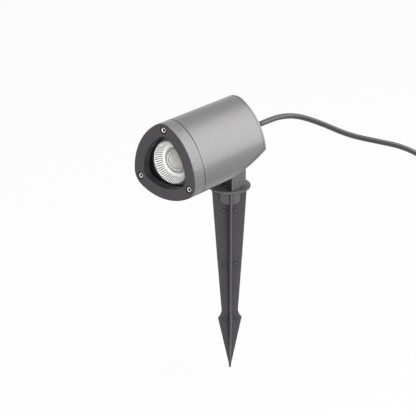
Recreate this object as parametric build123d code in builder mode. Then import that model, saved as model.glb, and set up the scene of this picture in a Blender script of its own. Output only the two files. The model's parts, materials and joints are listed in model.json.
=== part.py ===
"""Garden spike spotlight with a rounded-triangle head, a tilting clevis base and a ground spike.

Millimetres, +Z up. The origin is on the spike's axis at the soil line, which is the underside of the
base disc. The lamp shines towards -Y, the lead leaves towards +Y, and +X is on the right of someone
who looks into the lamp.
"""
from build123d import *
import math
import os

os.makedirs("parts", exist_ok=True)

# Head: a rounded Reuleaux triangle of constant width, point up
HEAD_WIDTH = 90.0
CORNER_RADIUS = 20.5
TRIANGLE_SIDE = HEAD_WIDTH - 2 * CORNER_RADIUS
HEAD_AXIS_Z = 62.2
FRONT_Y = -117.7
REAR_Y = 12.7
SCREW_CIRCLE = 41.2
EDGE_BEVEL = 0.9

# Bezel, its mouth, glass and baffle, as depths behind the front face
BEZEL_DEPTH = 17.5
MOUTH_SIDE = 41.2
MOUTH_CORNER = 9.6
MOUTH_INSET = 1.2
LIP_DEPTH = 8.0
POCKET_CORNER = 13.1
GLASS_GASKET_THICKNESS = 0.8
GLASS_THICKNESS = 3.0
LAMP_DEPTH = 12.5
COUNTERBORE_RADIUS = 4.3
COUNTERBORE_DEPTH = 4.6
BEZEL_SCREW_LENGTH = 25.0
M4_RADIUS = 2.0
M4_CLEARANCE = 2.15

# Housing tube and its rear closing
SEAM = 1.0
WALL = 3.0
CHANNEL_WALL_RADIUS = 4.8
SCREW_HOLE_RADIUS = 2.05
SIDE_CHANNEL_X = 36.0
COVER_THICKNESS = 3.0
REAR_GASKET_THICKNESS = 0.6
OBLIQUE_START_BELOW_AXIS = 8.9
OBLIQUE_RUN_PER_DROP = 2.735

# Lamp: a 50 mm reflector lamp with two pins
LAMP_RADIUS = 25.0
LAMP_PIN_SPACING = 10.0

# Clevis base and pivot
DISC_RADIUS = 25.6
DISC_THICKNESS = 2.7
CHEEK_OUTER_X = 17.0
CHEEK_THICKNESS = 7.0
CHEEK_RADIUS = 13.9
PIVOT_Y = -3.1
PIVOT_Z = 31.6
PIVOT_BOLT_RADIUS = 3.0
RUNNING_GAP = 0.05
LUG_RADIUS = 11.0
FRICTION_WASHER_THICKNESS = 0.8

# Ground spike
TIP_Z = -247.6
HUB_RADIUS = 13.2
HUB_HEIGHT = 19.5
BLADE_THICKNESS = 3.0
BLADE_TOP_RADIUS = 21.3
NOTCH_Z = -166.6
NOTCH_RADIUS = 10.2
BARB_Z = -175.5
BARB_RADIUS = 15.3
NIB_Z = -240.6
NIB_RADIUS = 1.8
SPIKE_BOLT_RADIUS = 4.0

# Lead
CORD_RADIUS = 3.5
GLAND_HEX = 15.0
GLAND_HEX_LENGTH = 5.0
GLAND_THREAD_RADIUS = 6.0
GLAND_THREAD_LENGTH = 9.0
GLAND_END_Y = 54.0
FLOOR_Z = TIP_Z
COIL_CENTRE = (80.0, 452.0)
COIL_OUTER_RADIUS = 47.0
COIL_PITCH = 7.6
COIL_LIFT = 1.0
PLUG_RADIUS = 19.0

BEZEL_REAR_Y = FRONT_Y + BEZEL_DEPTH
TUBE_FRONT_Y = BEZEL_REAR_Y + SEAM
LIP_Y = FRONT_Y + LIP_DEPTH
GLASS_FRONT_Y = LIP_Y + GLASS_GASKET_THICKNESS
GLASS_REAR_Y = GLASS_FRONT_Y + GLASS_THICKNESS
LAMP_FRONT_Y = FRONT_Y + LAMP_DEPTH
CHEEK_INNER_X = CHEEK_OUTER_X - CHEEK_THICKNESS
LUG_HALF = CHEEK_INNER_X - FRICTION_WASHER_THICKNESS - RUNNING_GAP
SCREW_ANGLES = (90, 210, 330)
REAR_SCREW_PLACES = ((0, SCREW_CIRCLE), (SIDE_CHANNEL_X, 0), (-SIDE_CHANNEL_X, 0))


def across(y):
    """The upright plane across the head at this y, facing the front, centred on the head's axis."""
    return Plane(origin=(0, y, HEAD_AXIS_Z), x_dir=(1, 0, 0), z_dir=(0, -1, 0))


def oblique(depth):
    """The plane of the sloping underside, moved into the head by depth, facing down and back."""
    slope = math.hypot(OBLIQUE_RUN_PER_DROP, 1)
    down_back = Vector(0, 1 / slope, -OBLIQUE_RUN_PER_DROP / slope)
    start = Vector(0, REAR_Y, HEAD_AXIS_Z - OBLIQUE_START_BELOW_AXIS)
    return Plane(origin=start - down_back * depth, x_dir=(1, 0, 0), z_dir=down_back)


def rounded_triangle(side, corner):
    """A face of constant width: three corner arcs joined by three side arcs of 60 degrees each."""
    reach = side / math.sqrt(3)
    with BuildLine() as outline:
        for turn in SCREW_ANGLES:
            here = (reach * math.cos(math.radians(turn)), reach * math.sin(math.radians(turn)))
            across_turn = turn - 120
            opposite = (
                reach * math.cos(math.radians(across_turn)),
                reach * math.sin(math.radians(across_turn)),
            )
            CenterArc(here, corner, turn - 30, 60)
            CenterArc(opposite, side + corner, turn + 30, 60)
    make_face(outline.edges())


def trimmed_prism(corner, front, rear, depth):
    """The head's profile from front to rear, cut along the sloping underside moved in by depth."""
    with BuildPart() as prism:
        with BuildSketch(across(front)):
            rounded_triangle(TRIANGLE_SIDE, corner)
        extrude(amount=front - rear)
        split(bisect_by=oblique(depth), keep=Keep.BOTTOM)
    return prism.part


def socket_screw(shank, length, head, height, socket):
    """A screw along -Z with its seat at the origin and its socket head above it."""
    with BuildPart() as screw:
        Cylinder(shank, length, align=(Align.CENTER, Align.CENTER, Align.MAX))
        Cylinder(head, height, align=(Align.CENTER, Align.CENTER, Align.MIN))
        chamfer(screw.edges().group_by(Axis.Z)[-1], height * 0.12)
        with BuildSketch(Plane.XY.offset(height)):
            RegularPolygon(socket / 2, 6, major_radius=False)
        extrude(amount=-height * 0.55, mode=Mode.SUBTRACT)
    return screw.part


def hex_nut(across_flats, bore, height):
    """A hexagon nut standing on the origin."""
    with BuildPart() as nut:
        with BuildSketch():
            RegularPolygon(across_flats / 2, 6, major_radius=False)
            Circle(bore, mode=Mode.SUBTRACT)
        extrude(amount=height)
    return nut.part


def tube_along(points, radii, radius):
    """A round tube along straight runs joined by tangent arcs, one radius for each inner point."""
    with BuildPart() as tube:
        with BuildLine() as route:
            FilletPolyline(*points, radius=radii)
        with BuildSketch(Plane(origin=route.line @ 0, z_dir=route.line % 0)):
            Circle(radius)
        sweep(path=route.line)
    return tube.part


def corner_radii(points, share=0.45):
    """The largest arcs that each pair of runs allows."""
    radii = []
    for before, here, after in zip(points, points[1:], points[2:]):
        one = Vector(here) - Vector(before)
        two = Vector(after) - Vector(here)
        half_turn = math.radians(one.get_angle(two)) / 2
        radii.append(share * min(one.length, two.length) / math.tan(half_turn))
    return radii


def keep_part(part, name):
    """Label a finished piece and write it to its own file."""
    part.label = name
    export_step(part, f"parts/{name}.step")


# ---------------------------------------------------------------- ground spike
def blade_outline():
    """One whole blade seen flat, from the soil line down to the nib."""
    with BuildLine() as half:
        Polyline(
            (0, -0.5),
            (BLADE_TOP_RADIUS - 1.6, -0.5),
            (BLADE_TOP_RADIUS - 0.2, -2.5),
            (NOTCH_RADIUS, NOTCH_Z),
            (BARB_RADIUS - 2.4, BARB_Z + 1.6),
            (BARB_RADIUS - 0.6, BARB_Z),
            (BARB_RADIUS - 0.7, BARB_Z - 2.2),
            (NIB_RADIUS, NIB_Z),
            (1.2, TIP_Z + 1.2),
            (0, TIP_Z),
            (0, -0.5),
        )
    make_face(half.edges())
    mirror(about=Plane.YZ)


PAD_ROWS = ((-31.0, 3.1), (-102.0, 2.8), (-177.0, 2.4))
PAD_OFFSET = 7.2
PAD_RAISED = 0.8
BLADE_ANGLES = (45, 135)
SPIKE_BOLT_LENGTH = 20.0
SPIKE_BOLT_HOLE_DEPTH = 17.0
SPIKE_NUT_FLATS = 13.0
SPIKE_NUT_HEIGHT = 6.5
NUT_POCKET_TOP_Z = -7.5
NUT_POCKET_PLAY = 0.1

with BuildPart() as ground_spike:
    for angle in BLADE_ANGLES:
        blade = Plane.XZ.rotated((0, 0, angle))
        with BuildSketch(blade):
            blade_outline()
        extrude(amount=BLADE_THICKNESS / 2, both=True)
        for row_z, pad_radius in PAD_ROWS:
            with BuildSketch(blade):
                with Locations((PAD_OFFSET, row_z), (-PAD_OFFSET, row_z)):
                    Circle(pad_radius)
            extrude(amount=BLADE_THICKNESS / 2 + PAD_RAISED, both=True)
    Cylinder(HUB_RADIUS, HUB_HEIGHT, align=(Align.CENTER, Align.CENTER, Align.MAX))
    with BuildSketch(Plane.XY):
        Circle(SPIKE_BOLT_RADIUS + RUNNING_GAP)
    extrude(amount=-SPIKE_BOLT_HOLE_DEPTH, mode=Mode.SUBTRACT)
    with BuildSketch(Plane.XY.offset(NUT_POCKET_TOP_Z)):
        RegularPolygon(SPIKE_NUT_FLATS / 2 + NUT_POCKET_PLAY, 6, major_radius=False)
    extrude(amount=-SPIKE_NUT_HEIGHT - NUT_POCKET_PLAY, mode=Mode.SUBTRACT)
keep_part(ground_spike.part, "ground_spike")

THREAD_CLEAR = 0.02
with BuildPart() as spike_nut:
    with Locations((0, 0, NUT_POCKET_TOP_Z - SPIKE_NUT_HEIGHT - NUT_POCKET_PLAY / 2)):
        add(hex_nut(SPIKE_NUT_FLATS, SPIKE_BOLT_RADIUS + THREAD_CLEAR, SPIKE_NUT_HEIGHT))
keep_part(spike_nut.part, "spike_nut")

WASHER_THICKNESS = 1.6
WASHER_RADIUS = 8.0
with BuildPart() as spike_washer:
    with BuildSketch(Plane.XY.offset(DISC_THICKNESS)):
        Circle(WASHER_RADIUS)
        Circle(SPIKE_BOLT_RADIUS + 0.2, mode=Mode.SUBTRACT)
    extrude(amount=WASHER_THICKNESS)
keep_part(spike_washer.part, "spike_washer")

SPIKE_BOLT_HEAD_HEIGHT = 5.3
bolt_seat = Plane.XY.offset(DISC_THICKNESS + WASHER_THICKNESS)
with BuildPart() as spike_bolt:
    with BuildSketch(bolt_seat):
        RegularPolygon(SPIKE_NUT_FLATS / 2, 6, major_radius=False)
    extrude(amount=SPIKE_BOLT_HEAD_HEIGHT)
    with BuildSketch(bolt_seat):
        Circle(SPIKE_BOLT_RADIUS)
    extrude(amount=-SPIKE_BOLT_LENGTH)
keep_part(spike_bolt.part, "spike_bolt")

# ---------------------------------------------------------------- clevis base and pivot
with BuildPart() as swivel_base:
    Cylinder(DISC_RADIUS, DISC_THICKNESS, align=(Align.CENTER, Align.CENTER, Align.MIN))
    fillet(swivel_base.edges().group_by(Axis.Z)[-1], 0.6)
    for x in (-CHEEK_OUTER_X, CHEEK_INNER_X):
        with BuildSketch(Plane(origin=(x, PIVOT_Y, PIVOT_Z), x_dir=(0, 1, 0), z_dir=(1, 0, 0))):
            Circle(CHEEK_RADIUS)
            Rectangle(
                2 * CHEEK_RADIUS,
                PIVOT_Z - DISC_THICKNESS / 2,
                align=(Align.CENTER, Align.MAX),
            )
        extrude(amount=CHEEK_THICKNESS)
    foot_lines = swivel_base.edges().filter_by(GeomType.LINE)
    fillet(foot_lines.filter_by_position(Axis.Z, DISC_THICKNESS - 0.01, DISC_THICKNESS + 0.01), 0.5)
    with BuildSketch(Plane(origin=(-30, PIVOT_Y, PIVOT_Z), x_dir=(0, 1, 0), z_dir=(1, 0, 0))):
        Circle(PIVOT_BOLT_RADIUS + RUNNING_GAP)
    extrude(amount=60, mode=Mode.SUBTRACT)
    with BuildSketch(Plane.XY):
        Circle(SPIKE_BOLT_RADIUS + RUNNING_GAP)
    extrude(amount=DISC_THICKNESS, mode=Mode.SUBTRACT)
keep_part(swivel_base.part, "swivel_base")

with BuildPart() as pivot_bolt:
    with Locations(Plane(origin=(CHEEK_OUTER_X, PIVOT_Y, PIVOT_Z), z_dir=(1, 0, 0))):
        add(socket_screw(PIVOT_BOLT_RADIUS, 2 * CHEEK_OUTER_X + 6.0, 5.2, 3.3, 4.0))
keep_part(pivot_bolt.part, "pivot_bolt")

with BuildPart() as pivot_nut:
    with Locations(Plane(origin=(-CHEEK_OUTER_X, PIVOT_Y, PIVOT_Z), z_dir=(-1, 0, 0))):
        add(hex_nut(10.0, PIVOT_BOLT_RADIUS + THREAD_CLEAR, 5.0))
keep_part(pivot_nut.part, "pivot_nut")

with BuildPart() as friction_washers:
    for x in (LUG_HALF + RUNNING_GAP, -CHEEK_INNER_X):
        with BuildSketch(Plane(origin=(x, PIVOT_Y, PIVOT_Z), z_dir=(1, 0, 0))):
            Circle(LUG_RADIUS - 0.5)
            Circle(PIVOT_BOLT_RADIUS + RUNNING_GAP, mode=Mode.SUBTRACT)
        extrude(amount=FRICTION_WASHER_THICKNESS)
keep_part(friction_washers.part, "friction_washers")

# ---------------------------------------------------------------- bezel, glass and baffle
with BuildPart() as front_bezel:
    with BuildSketch(across(FRONT_Y)):
        rounded_triangle(TRIANGLE_SIDE, CORNER_RADIUS)
    extrude(amount=-BEZEL_DEPTH)
    chamfer(front_bezel.edges().group_by(Axis.Y)[0], EDGE_BEVEL)
    chamfer(front_bezel.edges().group_by(Axis.Y)[-1], 0.4)
    with BuildSketch(across(BEZEL_REAR_Y)):
        rounded_triangle(MOUTH_SIDE, POCKET_CORNER)
    extrude(amount=BEZEL_DEPTH - LIP_DEPTH, mode=Mode.SUBTRACT)
    with BuildSketch(across(FRONT_Y)):
        rounded_triangle(MOUTH_SIDE, MOUTH_CORNER)
    with BuildSketch(across(LIP_Y)):
        rounded_triangle(MOUTH_SIDE, MOUTH_CORNER - MOUTH_INSET)
    loft(mode=Mode.SUBTRACT)
    with Locations(across(FRONT_Y)):
        with PolarLocations(SCREW_CIRCLE, 3, start_angle=90):
            CounterBoreHole(M4_CLEARANCE, COUNTERBORE_RADIUS, COUNTERBORE_DEPTH, BEZEL_DEPTH)
keep_part(front_bezel.part, "front_bezel")

with BuildPart() as bezel_screws:
    with Locations(across(FRONT_Y + COUNTERBORE_DEPTH)):
        with PolarLocations(SCREW_CIRCLE, 3, start_angle=90):
            add(socket_screw(M4_RADIUS, BEZEL_SCREW_LENGTH, 3.5, 4.0, 3.0))
keep_part(bezel_screws.part, "bezel_screws")

with BuildPart() as glass_gasket:
    with BuildSketch(across(LIP_Y)):
        rounded_triangle(MOUTH_SIDE, POCKET_CORNER - 0.1)
    extrude(amount=-GLASS_GASKET_THICKNESS)
    with BuildSketch(across(LIP_Y)):
        rounded_triangle(MOUTH_SIDE, MOUTH_CORNER - MOUTH_INSET + 0.4)
    extrude(amount=-GLASS_GASKET_THICKNESS, mode=Mode.SUBTRACT)
keep_part(glass_gasket.part, "glass_gasket")

with BuildPart() as front_glass:
    with BuildSketch(across(GLASS_FRONT_Y)):
        rounded_triangle(MOUTH_SIDE, POCKET_CORNER - 0.3)
    extrude(amount=-GLASS_THICKNESS)
keep_part(front_glass.part, "front_glass")

BAFFLE_HOLE_RADIUS = LAMP_RADIUS + 0.4
with BuildPart() as lamp_baffle:
    with BuildSketch(across(GLASS_REAR_Y)):
        rounded_triangle(MOUTH_SIDE, POCKET_CORNER - 0.05)
        Circle(BAFFLE_HOLE_RADIUS, mode=Mode.SUBTRACT)
    extrude(amount=GLASS_REAR_Y - BEZEL_REAR_Y)
    front_rim = lamp_baffle.edges().filter_by(GeomType.CIRCLE).group_by(Axis.Y)[0]
    chamfer([edge for edge in front_rim if abs(edge.radius - BAFFLE_HOLE_RADIUS) < 0.01], 0.5)
keep_part(lamp_baffle.part, "lamp_baffle")

# ---------------------------------------------------------------- housing tube and rear closing
CAVITY_CORNER = CORNER_RADIUS - WALL
TUBE_END_Y = REAR_Y - COVER_THICKNESS - REAR_GASKET_THICKNESS
housing_prism = trimmed_prism(
    CORNER_RADIUS, TUBE_FRONT_Y, TUBE_END_Y, COVER_THICKNESS + REAR_GASKET_THICKNESS
)


def screw_channels(radius):
    """The circles of the five screw channels, in a sketch across the head."""
    with PolarLocations(SCREW_CIRCLE, 3, start_angle=90):
        Circle(radius)
    with Locations((SIDE_CHANNEL_X, 0), (-SIDE_CHANNEL_X, 0)):
        Circle(radius)


with BuildPart() as cavity:
    with BuildSketch(across(TUBE_FRONT_Y - 5)):
        rounded_triangle(TRIANGLE_SIDE, CAVITY_CORNER)
    extrude(amount=TUBE_FRONT_Y - REAR_Y - 10)
    with BuildSketch(across(TUBE_FRONT_Y - 5)):
        screw_channels(CHANNEL_WALL_RADIUS)
    extrude(amount=TUBE_FRONT_Y - REAR_Y - 10, mode=Mode.SUBTRACT)

BRACKET_Y = -37.0
BRACKET_SHEET = 1.5
BRACKET_SCREW_Y = -31.0
with BuildPart() as head_housing:
    add(housing_prism)
    chamfer(head_housing.edges().group_by(Axis.Y)[0], 0.4)
    add(cavity.part, mode=Mode.SUBTRACT)
    with BuildSketch(across(TUBE_FRONT_Y)):
        screw_channels(SCREW_HOLE_RADIUS)
    extrude(amount=TUBE_FRONT_Y - REAR_Y, mode=Mode.SUBTRACT)
    for turn in (1, -1):
        with BuildSketch(
            Plane(origin=(turn * 30, BRACKET_SCREW_Y, HEAD_AXIS_Z), z_dir=(turn, 0, 0))
        ):
            Circle(1.52)
        extrude(amount=3.6, mode=Mode.SUBTRACT)
keep_part(head_housing.part, "head_housing")

with BuildPart() as bezel_gasket:
    with BuildSketch(across(BEZEL_REAR_Y)):
        rounded_triangle(TRIANGLE_SIDE, CORNER_RADIUS - 0.9)
        with PolarLocations(SCREW_CIRCLE, 3, start_angle=90):
            Circle(M4_CLEARANCE, mode=Mode.SUBTRACT)
    extrude(amount=-SEAM)
    with BuildSketch(across(BEZEL_REAR_Y)):
        rounded_triangle(MOUTH_SIDE, POCKET_CORNER + 0.5)
    extrude(amount=-SEAM, mode=Mode.SUBTRACT)
keep_part(bezel_gasket.part, "bezel_gasket")

cover_outside = trimmed_prism(CORNER_RADIUS, -90, REAR_Y, 0)
cover_inside = trimmed_prism(
    CORNER_RADIUS + 5, -100, REAR_Y - COVER_THICKNESS, COVER_THICKNESS
)
gasket_outside = trimmed_prism(
    CORNER_RADIUS - 0.6, -80, REAR_Y - COVER_THICKNESS, COVER_THICKNESS
)
gasket_inside = trimmed_prism(
    CORNER_RADIUS + 5, -100, TUBE_END_Y, COVER_THICKNESS + REAR_GASKET_THICKNESS
)

lug_side = oblique(0)
with BuildPart() as rear_cover:
    add(cover_outside)
    add(cover_inside, mode=Mode.SUBTRACT)
    with BuildSketch(
        Plane(
            origin=(-LUG_HALF, PIVOT_Y, PIVOT_Z),
            x_dir=lug_side.y_dir * -1,
            z_dir=(1, 0, 0),
        )
    ):
        Circle(LUG_RADIUS)
        Rectangle(2 * LUG_RADIUS, 15.5, align=(Align.CENTER, Align.MIN))
    extrude(amount=2 * LUG_HALF)
    with BuildSketch(Plane(origin=(-20, PIVOT_Y, PIVOT_Z), z_dir=(1, 0, 0))):
        Circle(PIVOT_BOLT_RADIUS + RUNNING_GAP)
    extrude(amount=40, mode=Mode.SUBTRACT)
    with BuildSketch(across(REAR_Y)):
        with Locations(*REAR_SCREW_PLACES):
            Circle(M4_CLEARANCE)
        Circle(GLAND_THREAD_RADIUS + RUNNING_GAP)
    extrude(amount=10, mode=Mode.SUBTRACT)
keep_part(rear_cover.part, "rear_cover")

with BuildPart() as rear_gasket:
    add(gasket_outside)
    add(gasket_inside, mode=Mode.SUBTRACT)
    add(trimmed_prism(CAVITY_CORNER + 0.3, -100, REAR_Y + 5, 2.0), mode=Mode.SUBTRACT)
    with BuildSketch(across(REAR_Y)):
        with Locations(*REAR_SCREW_PLACES):
            Circle(M4_CLEARANCE)
    extrude(amount=10, mode=Mode.SUBTRACT)
keep_part(rear_gasket.part, "rear_gasket")

rear_face = Plane(origin=(0, REAR_Y, HEAD_AXIS_Z), x_dir=(-1, 0, 0), z_dir=(0, 1, 0))
with BuildPart() as rear_screws:
    with Locations(rear_face):
        with Locations(*REAR_SCREW_PLACES):
            add(socket_screw(M4_RADIUS, 14.0, 3.7, 2.2, 2.5))
keep_part(rear_screws.part, "rear_screws")

# ---------------------------------------------------------------- lamp and holder
LENS_DEPTH = 12.0
LAMP_CUP_RADIUS = 23.9
LAMP_BACK_Y = -56.0


def around_axis(y):
    """The upright plane through the head's axis, local x outwards and local y towards the rear."""
    return Plane(origin=(0, y, HEAD_AXIS_Z), x_dir=(1, 0, 0), z_dir=(0, 0, 1))


HEAD_AXIS = Axis((0, 0, HEAD_AXIS_Z), (0, 1, 0))

with BuildPart() as lamp_body:
    with BuildSketch(around_axis(LAMP_FRONT_Y)):
        with BuildLine():
            Polyline(
                (LAMP_CUP_RADIUS, 0.3),
                (LAMP_RADIUS, 0.3),
                (LAMP_RADIUS, 7.0),
                (16.5, 38.0),
                (14.0, 39.5),
                (14.0, LAMP_BACK_Y - LAMP_FRONT_Y),
                (0, LAMP_BACK_Y - LAMP_FRONT_Y),
                (0, LENS_DEPTH + 1.6),
                (14.0, LENS_DEPTH + 1.6),
                (LAMP_CUP_RADIUS, 6.0),
                (LAMP_CUP_RADIUS, 0.3),
            )
        make_face()
    revolve(axis=HEAD_AXIS)
    with BuildSketch(across(LAMP_FRONT_Y + 10)):
        with PolarLocations(23.0, 18):
            Rectangle(9.0, 2.6)
    extrude(amount=-26, mode=Mode.SUBTRACT)
keep_part(lamp_body.part, "lamp_body")

with BuildPart() as lamp_lens:
    with BuildSketch(around_axis(LAMP_FRONT_Y)):
        with BuildLine():
            Polyline(
                (LAMP_CUP_RADIUS - 0.1, 0),
                (LAMP_CUP_RADIUS - 0.1, 5.9),
                (13.9, LENS_DEPTH),
                (0, LENS_DEPTH),
                (0, 3.0),
                (8.5, 5.5),
                (10.5, 7.0),
                (12.5, 7.0),
                (LAMP_CUP_RADIUS - 1.6, 0),
                (LAMP_CUP_RADIUS - 0.1, 0),
            )
        make_face()
    revolve(axis=HEAD_AXIS)
keep_part(lamp_lens.part, "lamp_lens")

with BuildPart() as led_board:
    with BuildSketch(across(LAMP_FRONT_Y + LENS_DEPTH)):
        Circle(12.0)
    extrude(amount=-1.6)
keep_part(led_board.part, "led_board")

PIN_PLACES = ((LAMP_PIN_SPACING / 2, 0), (-LAMP_PIN_SPACING / 2, 0))
with BuildPart() as lamp_pins:
    with BuildSketch(across(LAMP_BACK_Y)):
        with Locations(*PIN_PLACES):
            Circle(1.6)
    extrude(amount=-5.0)
    with BuildSketch(across(LAMP_BACK_Y + 5.0)):
        with Locations(*PIN_PLACES):
            Circle(2.5)
    extrude(amount=-2.5)
keep_part(lamp_pins.part, "lamp_pins")

HOLDER_REAR_Y = BRACKET_Y - BRACKET_SHEET
with BuildPart() as lamp_holder:
    with BuildSketch(across(LAMP_BACK_Y)):
        RectangleRounded(27.0, 22.0, 6.0)
    extrude(amount=LAMP_BACK_Y - HOLDER_REAR_Y)
    with BuildSketch(across(LAMP_BACK_Y)):
        with Locations(*PIN_PLACES):
            Circle(2.6)
    extrude(amount=-9.0, mode=Mode.SUBTRACT)
    with BuildSketch(across(HOLDER_REAR_Y)):
        with Locations(*PIN_PLACES):
            Circle(1.3)
    extrude(amount=4.0, mode=Mode.SUBTRACT)
keep_part(lamp_holder.part, "lamp_holder")

BRACKET_HALF = SIDE_CHANNEL_X - CHANNEL_WALL_RADIUS
BRACKET_HEIGHT = 14.0
with BuildPart() as holder_bracket:
    with BuildSketch(across(HOLDER_REAR_Y)):
        Rectangle(2 * BRACKET_HALF - 0.2, BRACKET_HEIGHT)
        RectangleRounded(18.0, 8.0, 2.0, mode=Mode.SUBTRACT)
    extrude(amount=-BRACKET_SHEET)
    for turn in (1, -1):
        flange_x = turn * (BRACKET_HALF - 0.1)
        with BuildSketch(
            Plane(origin=(flange_x, HOLDER_REAR_Y, HEAD_AXIS_Z), x_dir=(0, 1, 0), z_dir=(-turn, 0, 0))
        ):
            Rectangle(13.0, BRACKET_HEIGHT, align=(Align.MIN, Align.CENTER))
        extrude(amount=BRACKET_SHEET)
        with BuildSketch(
            Plane(origin=(turn * 25, BRACKET_SCREW_Y, HEAD_AXIS_Z), z_dir=(turn, 0, 0))
        ):
            Circle(1.6)
        extrude(amount=10, mode=Mode.SUBTRACT)
keep_part(holder_bracket.part, "holder_bracket")

with BuildPart() as holder_screws:
    for turn in (1, -1):
        seat_x = turn * (BRACKET_HALF - 0.1 - BRACKET_SHEET)
        with Locations(Plane(origin=(seat_x, BRACKET_SCREW_Y, HEAD_AXIS_Z), z_dir=(-turn, 0, 0))):
            add(socket_screw(1.5, 3.6, 2.75, 1.8, 2.0))
keep_part(holder_screws.part, "holder_screws")

# ---------------------------------------------------------------- gland and cable entry
COVER_INNER_Y = REAR_Y - COVER_THICKNESS
CABLE_HOLE = CORD_RADIUS + RUNNING_GAP
GLAND_SPOUT_LENGTH = 7.0
SEAL_RADIUS = 4.85
SEAL_LENGTH = 7.9
spout_end = across(REAR_Y + GLAND_HEX_LENGTH + GLAND_SPOUT_LENGTH)

with BuildPart() as gland_body:
    with BuildSketch(across(REAR_Y + GLAND_HEX_LENGTH)):
        RegularPolygon(GLAND_HEX / 2, 6, major_radius=False)
    extrude(amount=GLAND_HEX_LENGTH)
    with BuildSketch(across(REAR_Y)):
        Circle(GLAND_THREAD_RADIUS)
    extrude(amount=GLAND_THREAD_LENGTH)
    with BuildSketch(spout_end):
        Circle(6.2)
    extrude(amount=GLAND_SPOUT_LENGTH)
    with BuildSketch(spout_end):
        Circle(CABLE_HOLE)
    extrude(amount=40, mode=Mode.SUBTRACT)
    with BuildSketch(spout_end):
        Circle(SEAL_RADIUS + RUNNING_GAP)
    extrude(amount=SEAL_LENGTH + 0.1, mode=Mode.SUBTRACT)
keep_part(gland_body.part, "gland_body")

with BuildPart() as gland_seal:
    with BuildSketch(spout_end):
        Circle(SEAL_RADIUS)
        Circle(CABLE_HOLE, mode=Mode.SUBTRACT)
    extrude(amount=SEAL_LENGTH)
keep_part(gland_seal.part, "gland_seal")

with BuildPart() as gland_nut:
    with BuildSketch(around_axis(REAR_Y + GLAND_HEX_LENGTH)):
        with BuildLine():
            Polyline(
                (6.25, 0.1),
                (8.4, 0.1),
                (8.4, 8.0),
                (6.6, 12.8),
                (5.2, 13.0),
                (5.2, 7.1),
                (6.25, 7.1),
                (6.25, 0.1),
            )
        make_face()
    revolve(axis=HEAD_AXIS)
    with BuildSketch(across(REAR_Y + GLAND_HEX_LENGTH)):
        Circle(9.0)
        RegularPolygon(GLAND_HEX / 2, 6, major_radius=False, mode=Mode.SUBTRACT)
    extrude(amount=-8.0, mode=Mode.SUBTRACT)
keep_part(gland_nut.part, "gland_nut")

with BuildPart() as bend_sleeve:
    with BuildSketch(around_axis(REAR_Y + GLAND_HEX_LENGTH)):
        with BuildLine():
            Polyline(
                (CABLE_HOLE, 7.2),
                (5.1, 7.2),
                (5.1, 13.0),
                (5.9, 13.4),
                (5.9, 15.5),
                (4.3, GLAND_END_Y - REAR_Y - GLAND_HEX_LENGTH),
                (CABLE_HOLE, GLAND_END_Y - REAR_Y - GLAND_HEX_LENGTH),
                (CABLE_HOLE, 7.2),
            )
        make_face()
    revolve(axis=HEAD_AXIS)
keep_part(bend_sleeve.part, "bend_sleeve")

SHEATH_END_Y = 5.5
with BuildPart() as inner_cable:
    with BuildSketch(across(GLAND_END_Y)):
        Circle(CORD_RADIUS)
    extrude(amount=GLAND_END_Y - SHEATH_END_Y)
keep_part(inner_cable.part, "inner_cable")

# ---------------------------------------------------------------- terminals and wires
BLOCK_V = 20.0
BLOCK_DEPTH = 14.0
BLOCK_HEIGHT = 11.0
CORE_X = (-7.5, 0.0, 7.5)
BLOCK_FRONT_Y = COVER_INNER_Y - BLOCK_DEPTH

TERMINAL_SINK = 2.5
TERMINAL_PLACES = [(x, BLOCK_FRONT_Y + back) for x in CORE_X for back in (4.0, 10.0)]
block_top = Plane.XY.offset(HEAD_AXIS_Z + BLOCK_V + BLOCK_HEIGHT / 2)

with BuildPart() as terminal_block:
    with BuildSketch(across(COVER_INNER_Y)):
        with Locations((0, BLOCK_V)):
            Rectangle(24.0, BLOCK_HEIGHT)
    extrude(amount=BLOCK_DEPTH)
    with BuildSketch(block_top):
        with Locations(*TERMINAL_PLACES):
            Circle(1.9)
    extrude(amount=-TERMINAL_SINK, mode=Mode.SUBTRACT)
keep_part(terminal_block.part, "terminal_block")

with BuildPart() as terminal_screws:
    with BuildSketch(block_top.offset(-TERMINAL_SINK)):
        with Locations(*TERMINAL_PLACES):
            Circle(1.8)
    extrude(amount=1.6)
    with BuildSketch(block_top.offset(1.6 - TERMINAL_SINK)):
        with Locations(*TERMINAL_PLACES):
            Rectangle(4.0, 0.6)
    extrude(amount=-0.8, mode=Mode.SUBTRACT)
keep_part(terminal_screws.part, "terminal_screws")

CORE_RADIUS = 1.2
CORE_RISE_Y = BLOCK_FRONT_Y + 3.0
block_bottom = HEAD_AXIS_Z + BLOCK_V - BLOCK_HEIGHT / 2
low_cores = HEAD_AXIS_Z - 0.9
core_routes = {
    "live_core": [
        (-1.6, SHEATH_END_Y, low_cores),
        (-1.6, CORE_RISE_Y, low_cores),
        (CORE_X[0], CORE_RISE_Y, low_cores + 8.0),
        (CORE_X[0], CORE_RISE_Y, block_bottom),
    ],
    "earth_core": [
        (1.6, SHEATH_END_Y, low_cores),
        (1.6, CORE_RISE_Y, low_cores),
        (CORE_X[2], CORE_RISE_Y, low_cores + 8.0),
        (CORE_X[2], CORE_RISE_Y, block_bottom),
    ],
    "neutral_core": [
        (0, SHEATH_END_Y, HEAD_AXIS_Z + 1.8),
        (0, CORE_RISE_Y, HEAD_AXIS_Z + 1.8),
        (0, CORE_RISE_Y, block_bottom),
    ],
}
for name, core_route in core_routes.items():
    core_bends = [2.6] * (len(core_route) - 2)
    keep_part(tube_along(core_route, core_bends, CORE_RADIUS), name)

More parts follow.
